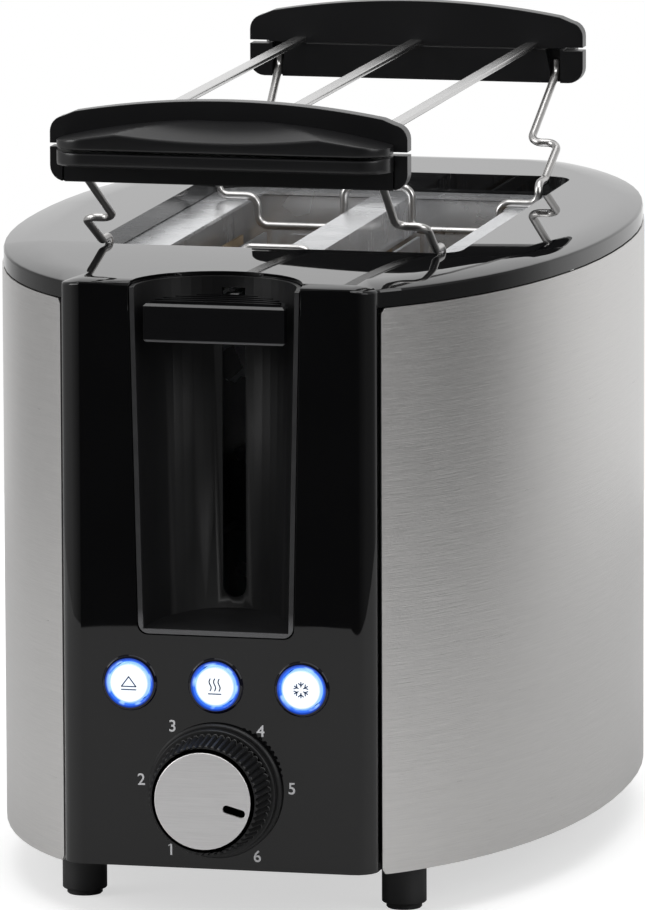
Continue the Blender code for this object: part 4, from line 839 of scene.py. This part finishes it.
class TOASTER_OT_channel(PieceOperator, bpy.types.Operator):
    """Matte channel that the lever runs in"""

    bl_idname = "toaster.channel"
    bl_label = "Lever Channel"

    def make(self, size):
        bm = from_node("lever_channel")
        soften(bm, size.rim_round, 5, 40.0, self.is_front)
        add_piece("channel_liner", bm, "channel_black", "body", ["lever_channel"])

    def is_front(self, edge):
        """Inner edges of the channel's mouth."""
        ends = [v.co for v in edge.verts]
        if any(abs(p.y - FRONT) > NEAR for p in ends):
            return False
        half = CHANNEL_HIGH.x - sizes().channel_wall / 2
        return all(abs(p.x) < half and p.z > CHANNEL_LOW.z + NEAR * 10 for p in ends)


class TOASTER_OT_feet(PieceOperator, bpy.types.Operator):
    """Four stepped feet"""

    bl_idname = "toaster.feet"
    bl_label = "Feet"

    def make(self, size):
        for end in ("front", "rear"):
            for side in ("left", "right"):
                node = "foot_%s_%s" % (end, side)
                low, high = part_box(node)
                radius = (high.x - low.x) / 2
                tip, step, edge, shoulder = radius * 0.8, size.foot_step, size.foot_edge, size.foot_shoulder
                profile = [(0, 0), (tip - edge, 0), (tip, edge), (tip, step), (radius - shoulder, step),
                           (radius, step + shoulder), (radius, high.z), (0, high.z)]
                middle = (low + high) / 2
                bm = turned(profile, (middle.x, middle.y, 0), (0, 0, 1), 48)
                add_piece("stepped_" + node, bm, "foot_black", "body", [node])


class TOASTER_OT_buttons(PieceOperator, bpy.types.Operator):
    """Lit rings, button faces and their pictograms"""

    bl_idname = "toaster.buttons"
    bl_label = "Buttons"

    def make(self, size):
        for name in ("eject", "reheat", "defrost"):
            self.ring(size, name)
            self.face(size, name)

    def centre(self, name):
        """Middle of a button's ring, on the panel's face."""
        low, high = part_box("button_ring_" + name)
        return Vector(((low.x + high.x) / 2, FRONT, (low.z + high.z) / 2))

    def ring(self, size, name):
        """Ring with a low rounded crest, just proud of the panel."""
        low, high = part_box("button_ring_" + name)
        centre = self.centre(name)
        outer, bore, wall = (high.x - low.x) / 2, size.ring_bore, size.ring_wall
        proud, slope, lip = size.ring_proud, 0.0002, 0.0001
        crest = ((bore, -slope), (bore + 0.0003, slope - proud), (wall, -proud), (outer - 0.0007, -proud),
                 (outer - 0.0003, slope - proud), (outer, -lip), (outer - lip, 0.0))
        profile = [(bore, high.y - FRONT), *crest, (wall, lip), (wall, high.y - FRONT)]
        lit_ring("lit_ring_" + name, centre)
        add_piece("lit_ring_" + name, turned(profile, centre, (0, 1, 0), 64, True), "lit_ring_" + name,
                  "body", ["button_ring_" + name])

    def face(self, size, name):
        """Button with a dished edge and a pin behind, and its pictogram."""
        low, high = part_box("button_" + name)
        centre = self.centre(name)
        face, radius = low.y - FRONT, (high.x - low.x) / 2
        start, pin = size.plunger_start, size.plunger
        flat, back = size.flat_radius, high.y - FRONT
        edge = ((flat, 0.0), (radius - 0.0010, 0.0001), (radius - 0.0004, 0.0003), (radius, 0.0008))
        profile = [(0, face), *((r, face + fall) for r, fall in edge), (radius, start), (pin, start),
                   (pin, back), (0, back)]
        lit_face("lit_face_" + name, centre)
        add_piece("lit_button_" + name, turned(profile, centre, (0, 1, 0), 64), "lit_face_" + name, name,
                  ["button_" + name])
        mark = getattr(self, name)(size)
        bmesh.ops.translate(mark, verts=mark.verts, vec=(centre.x, low.y, centre.z))
        add_piece("mark_" + name, mark, "mark_blue", name)

    def bar(self, size, start, end, width):
        """Flat bar in the XZ plane with round ends, just proud of the face."""
        start, end = Vector((start[0], start[1])), Vector((end[0], end[1]))
        a = math.degrees(math.atan2(end.y - start.y, end.x - start.x))
        outline = arc(end, width / 2, a - 90, a + 90, 5) + arc(start, width / 2, a + 90, a + 270, 5)
        depth = size.print_depth
        return prism([(u, -depth / 2, v) for u, v in outline], (0, depth, 0))

    def eject(self, size):
        """Triangle over a line."""
        w, line = 0.0021, 0.00036
        top, base, under = 0.0019, -0.0009, -0.0018
        parts = [((-w, base), (w, base)), ((w, base), (0, top)), ((0, top), (-w, base)),
                 ((-w, under), (w, under))]
        return merged(*[self.bar(size, a, b, line) for a, b in parts])

    def reheat(self, size):
        """Three waves over a line."""
        line, half, under = 0.00036, 0.0018, -0.0021
        foot, tall, swing, steps = -0.0012, 0.0034, 0.0003, 8
        parts = [self.bar(size, (-half, under), (half, under), line)]
        for x in (-0.0013, 0.0, 0.0013):
            points = []
            for k in range(steps + 1):
                t = k / steps
                points.append((x + swing * math.sin(FULL_TURN * t), foot + tall * t))
            parts += [self.bar(size, a, b, line) for a, b in zip(points, points[1:])]
        return merged(*parts)

    def defrost(self, size):
        """Six branched spokes round an open middle."""
        line = 0.00036
        spokes = [((0.0009, 0), (0.0022, 0)), ((0.0013, 0), (0.0019, 0.0007)),
                  ((0.0013, 0), (0.0019, -0.0007))]
        parts = []
        for k in range(6):
            turn = Matrix.Rotation(math.radians(30 + 60 * k), 2)
            parts += [self.bar(size, turn @ Vector(p), turn @ Vector(q), line) for p, q in spokes]
        return merged(*parts)


class TOASTER_OT_dial(PieceOperator, bpy.types.Operator):
    """Browning dial with its bezel, fluted body, metal cap and numbers"""

    bl_idname = "toaster.dial"
    bl_label = "Browning Dial"

    def make(self, size):
        centre = (0, FRONT, DIAL_Z)
        low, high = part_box("dial_bezel")
        radius, lift = (high.x - low.x) / 2, low.y - FRONT
        bore, well, dish = 0.0050, 0.0160, 0.0003
        bezel = [(bore, high.y - FRONT), (bore, lift + dish), (well, lift + dish), (radius - 0.0010, lift),
                 (radius - 0.0004, lift + 0.0002), (radius, lift + 0.0008), (radius, high.y - FRONT)]
        add_piece("dial_ring", turned(bezel, centre, (0, 1, 0), 96, True), "knob_black", "body",
                  ["dial_bezel"])
        add_piece("fluted_dial", self.fluted(size), "knob_black", "dial",
                  ["dial_knob"])
        cap = soften(from_node("dial_cap"), size.cap_edge, 2, 50.0)
        add_piece("dial_disc", cap, "brushed_disc", "dial", ["dial_cap"])
        for number, degrees in DIGITS:
            self.digit(size, number, math.radians(degrees))

    def digit(self, size, number, turn):
        """Printed number, half sunk into the panel. The 1 gets the flag that its font lacks."""
        bm = lettered(str(number), size.digit_height, size.print_depth)
        if number == 1:
            flag = [(-0.00018, 0.00162), (-0.00018, 0.00122), (-0.00085, 0.00088), (-0.00085, 0.00116)]
            half = size.print_depth / 2
            bm = merged(bm, prism([(u, -half, v) for u, v in flag], (0, size.print_depth, 0)))
        spot = (size.digit_circle * math.cos(turn), FRONT - size.print_depth / 4,
                DIAL_Z + size.digit_circle * math.sin(turn))
        bmesh.ops.translate(bm, verts=bm.verts, vec=spot)
        add_piece("digit_%d" % number, bm, "digit_white", "body")

    def fluted(self, size):
        """Smooth skirt, fluted body and the flat scalloped ring round the disc."""
        flutes, fine, narrow = 54, 6, 2.2
        front, rear = DIAL_LOW.y, DIAL_HIGH.y
        skirt = (DIAL_HIGH.x - DIAL_LOW.x) / 2
        body = skirt - size.dial_waist
        tip = body - size.dial_taper
        deep = size.flute_depth
        land = rear - size.dial_skirt
        levels = (
            # (place along the dial, radius, share of the flutes' depth), from the panel outwards
            (rear, skirt - 0.0002, 0.0), (rear - 0.0003, skirt, 0.0), (land + 0.0004, skirt - 0.0001, 0.0),
            (land + 0.0001, skirt - 0.0003, 0.0), (land, skirt - 0.0006, 0.1), (land, body + 0.0002, 0.8),
            (land - 0.0002, body, 1.0), (front + 0.0010, tip + 0.0001, 1.0), (front + 0.0003, tip, 0.8),
            (front, tip - 0.0003, 0.5), (front, tip - 0.0009, 0.0))
        loops = []
        for y, radius, share in levels:
            loop = []
            for i in range(flutes * fine):
                a = FULL_TURN * i / (flutes * fine)
                groove = (0.5 - 0.5 * math.cos(flutes * a)) ** narrow
                r = radius - deep * share * groove
                loop.append((r * math.cos(a), y, DIAL_Z + r * math.sin(a)))
            loops.append(loop)
        return lofted(loops)


class TOASTER_OT_lever(PieceOperator, bpy.types.Operator):
    """Lever knob with ribs on its top"""

    bl_idname = "toaster.lever"
    bl_label = "Lever"

    def outline(self, inset):
        """Straight front with a half-round back, drawn in by the inset."""
        steps = 48
        half = KNOB_HIGH.x - inset
        deep = KNOB_HIGH.y - KNOB_LOW.y - inset * 2
        points = []
        for i in range(steps + 1):
            a = math.pi * i / steps
            points.append((half * math.cos(a), KNOB_LOW.y + inset + deep * math.sin(a) ** 0.8))
        return points

    def make(self, size):
        edge, ribs = 0.0007, 5
        low, high = KNOB_LOW.z, KNOB_HIGH.z - size.rib_height
        levels = ((low, edge), (low + edge, 0.0), (high - edge, 0.0), (high, edge))
        parts = [lofted([[(x, y, z) for x, y in self.outline(inset)] for z, inset in levels])]
        parts += [self.rib(size, k, high) for k in range(ribs)]
        add_piece("ribbed_lever", merged(*parts), "lever_black", "carriage",
                  ["lever_knob"])

    def rib(self, size, number, top):
        """Bowed rib across the knob's top, tapered at both ends."""
        first, margin, inset, bow = 0.0022, 0.0010, 0.0014, 0.0012
        wide, run, sunk, steps = 0.0014, 0.002, 0.0001, 8
        deep = KNOB_HIGH.y - KNOB_LOW.y
        y = KNOB_LOW.y + first + size.rib_pitch * number
        share = min(1.0, (y - KNOB_LOW.y + margin) / deep)
        half = KNOB_HIGH.x * math.sqrt(1 - share ** 2.5) - inset
        front, back = [], []
        for i in range(2 * steps + 1):
            x = half * (1 - i / steps)
            ahead = bow * (1 - (x / half) ** 2)
            taper = 0.5 * min(1.0, (half - abs(x)) / run + 0.1) * wide
            front.append((x, y + ahead - taper))
            back.append((x, y + ahead + taper))
        return prism([(u, v, top - sunk) for u, v in front + back[::-1]], (0, 0, size.rib_height + sunk))


class TOASTER_OT_rack(PieceOperator, bpy.types.Operator):
    """Warming rack: handles, strips and wires"""

    bl_idname = "toaster.rack"
    bl_label = "Warming Rack"

    def arch(self, x):
        """Height of a handle's arched top."""
        rise = 0.0053
        return UPPER_HIGH.z - rise * (x / UPPER_HIGH.x) ** 2

    def make(self, size):
        for end, name in ((-1, "front"), (1, "rear")):
            self.plates(size, end, name)
            self.grips(size, end, name)
            self.wire(size, end, name)
        for node in ("rack_strip_left", "rack_strip_middle", "rack_strip_right"):
            low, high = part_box(node)
            bm = soften(block(low, high), size.strip_round, 3)
            add_piece(node.replace("rack_strip", "flat_strip"), bm, "strip_steel", "rack",
                      [node])

    def plates(self, size, end, name):
        """Upper and lower half of a handle, with the seam between them and the legs' recesses."""
        mid = MID_Y + end * size.handle_place
        thick = size.handle_thick
        half, corner = UPPER_HIGH.x, size.handle_corner
        seam, inner = SEAM_Z, UPPER_HIGH.x - size.seam_run
        wide, fine = size.seam_end / 2, size.seam_mid / 2
        upper = [(-half, seam + wide), (-inner, seam + wide), (-inner, seam + fine),
                 (inner, seam + fine), (inner, seam + wide), (half, seam + wide)]
        top = self.arch(half)
        upper += arc((half - corner, top - corner), corner, 0, 80, 6)
        steps = 24
        for k in range(steps, -steps - 1, -1):
            x = (half - corner * 1.6) * k / steps
            upper.append((x, self.arch(x)))
        upper += arc((corner - half, top - corner), corner, 100, 180, 6)
        bottom = LOWER_LOW.z
        lower = [(half, seam - wide), (inner, seam - wide), (inner, seam - fine),
                 (-inner, seam - fine), (-inner, seam - wide), (-half, seam - wide)]
        lower += arc((corner - half, bottom + corner), corner, 180, 270, 6)
        lower += arc((half - corner, bottom + corner), corner, 270, 360, 6)
        for outline, which in ((upper, "upper"), (lower, "lower")):
            bm = prism([(u, mid - thick / 2, v) for u, v in outline], (0, thick, 0))
            soften(bm, size.plate_round, 3, 40.0)
            if which == "lower":
                for side in (-1, 1):
                    bm = carved(bm, self.recess(size, side, end, mid))
                    bm = carved(bm, self.slit(size, side, end, mid))
            node = "rack_handle_%s_%s" % (name, which)
            add_piece("rack_plate_%s_%s" % (name, which), bm, "handle_black", "rack",
                      [node])

    def recess(self, size, side, end, mid):
        """Tapered pocket in the inner face that the leg runs down in."""
        inner_face = mid - end * size.handle_thick / 2
        wide, narrow, outside, taper, deep = 0.0400, 0.0416, 0.0448, 0.0035, size.handle_thick * 0.7
        outline = ((wide, SEAM_Z + OVER), (outside, SEAM_Z + OVER), (outside, LOWER_LOW.z - OVER),
                   (narrow, LOWER_LOW.z - OVER), (narrow, LOWER_LOW.z + taper))
        points = [(side * x, inner_face - end * OVER, z) for x, z in outline]
        return prism(points, (0, end * (OVER + deep), 0))

    def slit(self, size, side, end, mid):
        """Narrow slit in the outer face beside the grip."""
        outer_face = mid + end * size.handle_thick / 2
        near, far, deep, below = 0.0476, 0.0482, 0.0012, 0.0018
        low = (side * near, outer_face - end * deep, LOWER_LOW.z - OVER)
        high = (side * far, outer_face + end * OVER, SEAM_Z - below)
        return block([min(pair) for pair in zip(low, high)], [max(pair) for pair in zip(low, high)])

    def grips(self, size, end, name):
        """Finger grip above the seam with a scooped top, and the band below it."""
        inset, reach, corner, near, bite, least = 0.0036, 0.0140, 0.0090, 0.0032, 0.0010, 0.0004
        start = MID_Y + end * (size.handle_place + size.handle_thick / 2 - bite)
        half = UPPER_HIGH.x - inset
        stations = 72
        for label, shape in (("grip", self.scoop), ("band", self.band)):
            loops = []
            for i in range(stations + 1):
                a = math.pi * (i / stations - 0.5)
                x = half * math.sin(a)
                spare = half - abs(x)
                out, back = reach, 0.0
                if spare < corner:
                    out -= corner - math.sqrt(max(0.0, corner ** 2 - (corner - spare) ** 2))
                if spare < near:
                    back = near - math.sqrt(max(0.0, near ** 2 - (near - spare) ** 2))
                out = max(out, back + least)
                section = shape(x / half)
                inside = start + end * back
                loop = [(x, inside, section[0][1])]
                loop += [(x, inside + end * (bite + (out - back) * share), z) for share, z in section]
                loop.append((x, inside, section[-1][1]))
                loops.append(loop)
            add_piece("rack_%s_%s" % (label, name), lofted(loops), "handle_black", "rack")

    def scoop(self, place):
        """Section of the grip: a convex top with a flat lens cut into its middle."""
        join_mid, join_drop, step, low_lip, curl, rise = 0.0084, 0.0059, 0.0012, 0.0035, 0.0046, 0.0045
        seam = SEAM_Z + SEAM_HALF
        join = SEAM_Z + join_mid - join_drop * place ** 2
        drop = step * (1 - place ** 4)
        hollow = SEAM_Z + low_lip + curl * place ** 2

        def top(share):
            return min(join - drop * share ** 2, hollow + rise * (1 - share))

        lip = top(1.0)
        section = [(0.955, seam), (0.985, seam + 0.0002), (1.0, seam + 0.0007), (1.0, lip - 0.0009),
                   (0.996, lip - 0.0004), (0.985, lip - 0.0001)]
        steps = 24
        for k in range(steps + 1):
            share = 0.975 * (1 - k / steps)
            section.append((share, top(share)))
        return section

    def band(self, _place):
        """Section of the band, the same all along."""
        tall = 0.0042
        seam = SEAM_Z - SEAM_HALF
        low = seam - tall
        return [(0.80, low), (0.93, low + 0.0002), (0.985, low + 0.0007), (1.0, low + 0.0014),
                (1.0, seam - 0.0007), (0.985, seam - 0.0002), (0.955, seam)]

    def wire(self, size, end, name):
        """Leg, hump in the middle and leg again, bent from one wire."""

        def run(route, side):
            return [(side * x, MID_Y + end * y, z) for x, y, z in route]

        points = run(LEG_ROUTE, -1) + run(HUMP_ROUTE, -1)
        points += run(HUMP_ROUTE[::-1], 1) + run(LEG_ROUTE[::-1], 1)
        bm = tube(bent(points, size.wire_bend), size.wire_radius)
        add_piece("bent_wire_" + name, bm, "wire_chrome", "rack", ["rack_wire_" + name])


class TOASTER_OT_inside(PieceOperator, bpy.types.Operator):
    """Finishes of the CAD nodes that stay, and the heating ribbons"""

    bl_idname = "toaster.inside"
    bl_label = "Inside"

    def make(self, size):
        slots = {row["node"]: row["material_slot"] for row in frame["record"]["subparts"]}
        for name, node in frame["nodes"].items():
            finish = SLOT_FINISHES[slots[name]]
            for special, starts in NODE_FINISHES.items():
                if name.startswith(starts):
                    finish = special
            node.data.materials.clear()
            node.data.materials.append(finish_of(finish))
        for node in ("heater_left", "heater_middle", "heater_right"):
            self.ribbons(size, node)

    def ribbons(self, size, node):
        """Flat ribbon wound round the mica, one turn at a time."""
        low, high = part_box(node)
        turns, thick, half = 11, size.ribbon_thick, size.ribbon_width / 2
        margin, ends = 0.012, 0.0075
        parts = []
        for k in range(turns):
            z = low.z + margin + (high.z - low.z - 2 * margin) * k / (turns - 1)
            for x0, x1 in ((low.x - thick, low.x), (high.x, high.x + thick)):
                parts.append(block((x0, low.y + ends, z - half), (x1, high.y - ends, z + half)))
        add_piece("ribbon_" + node, merged(*parts), "heating_ribbon", "body")


class TOASTER_OT_stage(bpy.types.Operator):
    """Floor, light and camera"""

    bl_idname = "toaster.stage"
    bl_label = "Stage"

    def execute(self, context):
        self.floor()
        self.world(context.scene)
        self.lamps()
        self.camera(context.scene)
        context.scene.view_settings.view_transform = "Standard"
        return {"FINISHED"}

    def floor(self):
        """Pale disc that takes the shadow and is lit up for the camera alone."""
        bm = bmesh.new()
        bmesh.ops.create_circle(bm, cap_ends=True, segments=96, radius=FLOOR_RADIUS)
        bmesh.ops.translate(bm, verts=bm.verts, vec=(0, MID_Y, 0))
        mesh = settled(bm, "floor")
        grey, rough, lift = 0.52, 0.7, 0.60
        finish = Finish("pale_floor", (grey, grey, grey), rough)
        tree = finish.tree
        path = finish.node("ShaderNodeLightPath", output="Is Camera Ray")
        plain = Value(finish, finish.shader.outputs[0])
        glow = finish.node("ShaderNodeEmission", None, {"Color": (1, 1, 1, 1), "Strength": lift}, "Emission")
        lit = finish.node("ShaderNodeAddShader", None, {0: glow, 1: plain})
        seen = finish.node("ShaderNodeMixShader", None, {0: path, 1: plain, 2: lit})
        tree.links.new(seen.socket, tree.nodes["Material Output"].inputs["Surface"])
        mesh.materials.append(finish.material)
        floor = placed("floor", mesh)

    def world(self, scene):
        """White for the camera. For all else a bright back and a dark front, as the object mirrors them."""
        world = bpy.data.worlds.new("studio")
        scene.world = world
        world.use_nodes = True
        world.node_tree.nodes.clear()
        nodes = Nodes(world.node_tree)
        output = world.node_tree.nodes.new("ShaderNodeOutputWorld")
        camera = nodes.node("ShaderNodeLightPath", output="Is Camera Ray")
        through = nodes.node("ShaderNodeLightPath", output="Is Transmission Ray")
        spot = nodes.node("ShaderNodeTexCoord", output="Generated")
        azimuth = nodes.maths("ARCTAN2", nodes.axis(spot, 0), 0.0 - nodes.axis(spot, 1))
        turn = nodes.spread(azimuth, -math.pi, math.pi)
        near, steep = [nodes.ramp(turn, [((a + 180) / 360, v) for a, v in stops])
                       for stops in (NEAR_LEVELS, STEEP_LEVELS)]
        low, high = 0.22, 0.46
        share = nodes.spread(nodes.maths("ABSOLUTE", nodes.axis(spot, 2)), low, high)
        strength = nodes.maths("MAXIMUM", camera + through, near + share * (steep - near))
        values = {"Color": (1, 1, 1, 1), "Strength": strength}
        light = nodes.node("ShaderNodeBackground", None, values, "Background")
        nodes.put(output.inputs["Surface"], light)

    def lamps(self):
        """Soft boxes that look at the toaster's middle."""
        for name, spot, wide, power in SOFT_BOXES:
            data = bpy.data.lights.new("softbox_" + name, "AREA")
            data.shape = "SQUARE"
            data.size = wide
            data.energy = power
            lamp = placed("softbox_" + name, data)
            lamp.location = spot
            aim = Vector((0, MID_Y, AIM_HEIGHT)) - Vector(spot)
            lamp.rotation_mode = "QUATERNION"
            lamp.rotation_quaternion = aim.to_track_quat("-Z", "Y")

    def camera(self, scene):
        """The photograph's own view, as fitted to it."""
        azimuth, elevation, roll = math.radians(13.23), math.radians(9.4), math.radians(-0.20)
        distance, lens = 3.04108, 408.54
        target = Vector((-0.00183, MID_Y, 0.11142))
        flat = math.cos(elevation)
        back = Vector((math.sin(azimuth) * flat, -math.cos(azimuth) * flat, math.sin(elevation)))
        data = bpy.data.cameras.new("camera")
        data.sensor_width = 36.0
        data.lens = lens
        data.clip_start, data.clip_end = 0.1, 100.0
        camera = placed("camera", data)
        camera.rotation_mode = "QUATERNION"
        level = (-back).to_track_quat("-Z", "Y")
        right, up = level @ Vector((1, 0, 0)), level @ Vector((0, 1, 0))
        tilted_right = right * math.cos(roll) + up * math.sin(roll)
        tilted_up = up * math.cos(roll) - right * math.sin(roll)
        turn = Matrix((tilted_right, tilted_up, back)).transposed()
        camera.rotation_quaternion = turn.to_quaternion()
        camera.location = target + back * distance
        scene.camera = camera


OPERATORS = (
    TOASTER_OT_inside,
    TOASTER_OT_shell,
    TOASTER_OT_channel,
    TOASTER_OT_feet,
    TOASTER_OT_buttons,
    TOASTER_OT_dial,
    TOASTER_OT_lever,
    TOASTER_OT_rack,
    TOASTER_OT_stage,
)


class TOASTER_PT_panel(bpy.types.Panel):
    """Sizes, colours and pieces of the toaster"""

    bl_idname = "TOASTER_PT_panel"
    bl_label = "Toaster"
    bl_space_type = "VIEW_3D"
    bl_region_type = "UI"
    bl_category = "Toaster"

    def draw(self, context):
        for group in (context.scene.toaster_sizes, context.scene.toaster_colours):
            box = self.layout.box()
            for name in group.bl_rna.properties.keys():
                if name not in ("rna_type", "name"):
                    box.prop(group, name)
        for operator in OPERATORS:
            self.layout.operator(operator.bl_idname)


CLASSES = (ToasterSizes, ToasterColours, *OPERATORS, TOASTER_PT_panel)


def register():
    for item in CLASSES:
        bpy.utils.register_class(item)
    bpy.types.Scene.toaster_sizes = bpy.props.PointerProperty(type=ToasterSizes)
    bpy.types.Scene.toaster_colours = bpy.props.PointerProperty(type=ToasterColours)


def unregister():
    del bpy.types.Scene.toaster_colours
    del bpy.types.Scene.toaster_sizes
    for item in reversed(CLASSES):
        bpy.utils.unregister_class(item)


def main():
    register()
    for operator in OPERATORS:
        family, name = operator.bl_idname.split(".")
        getattr(getattr(bpy.ops, family), name)()


if __name__ == "__main__":
    main()
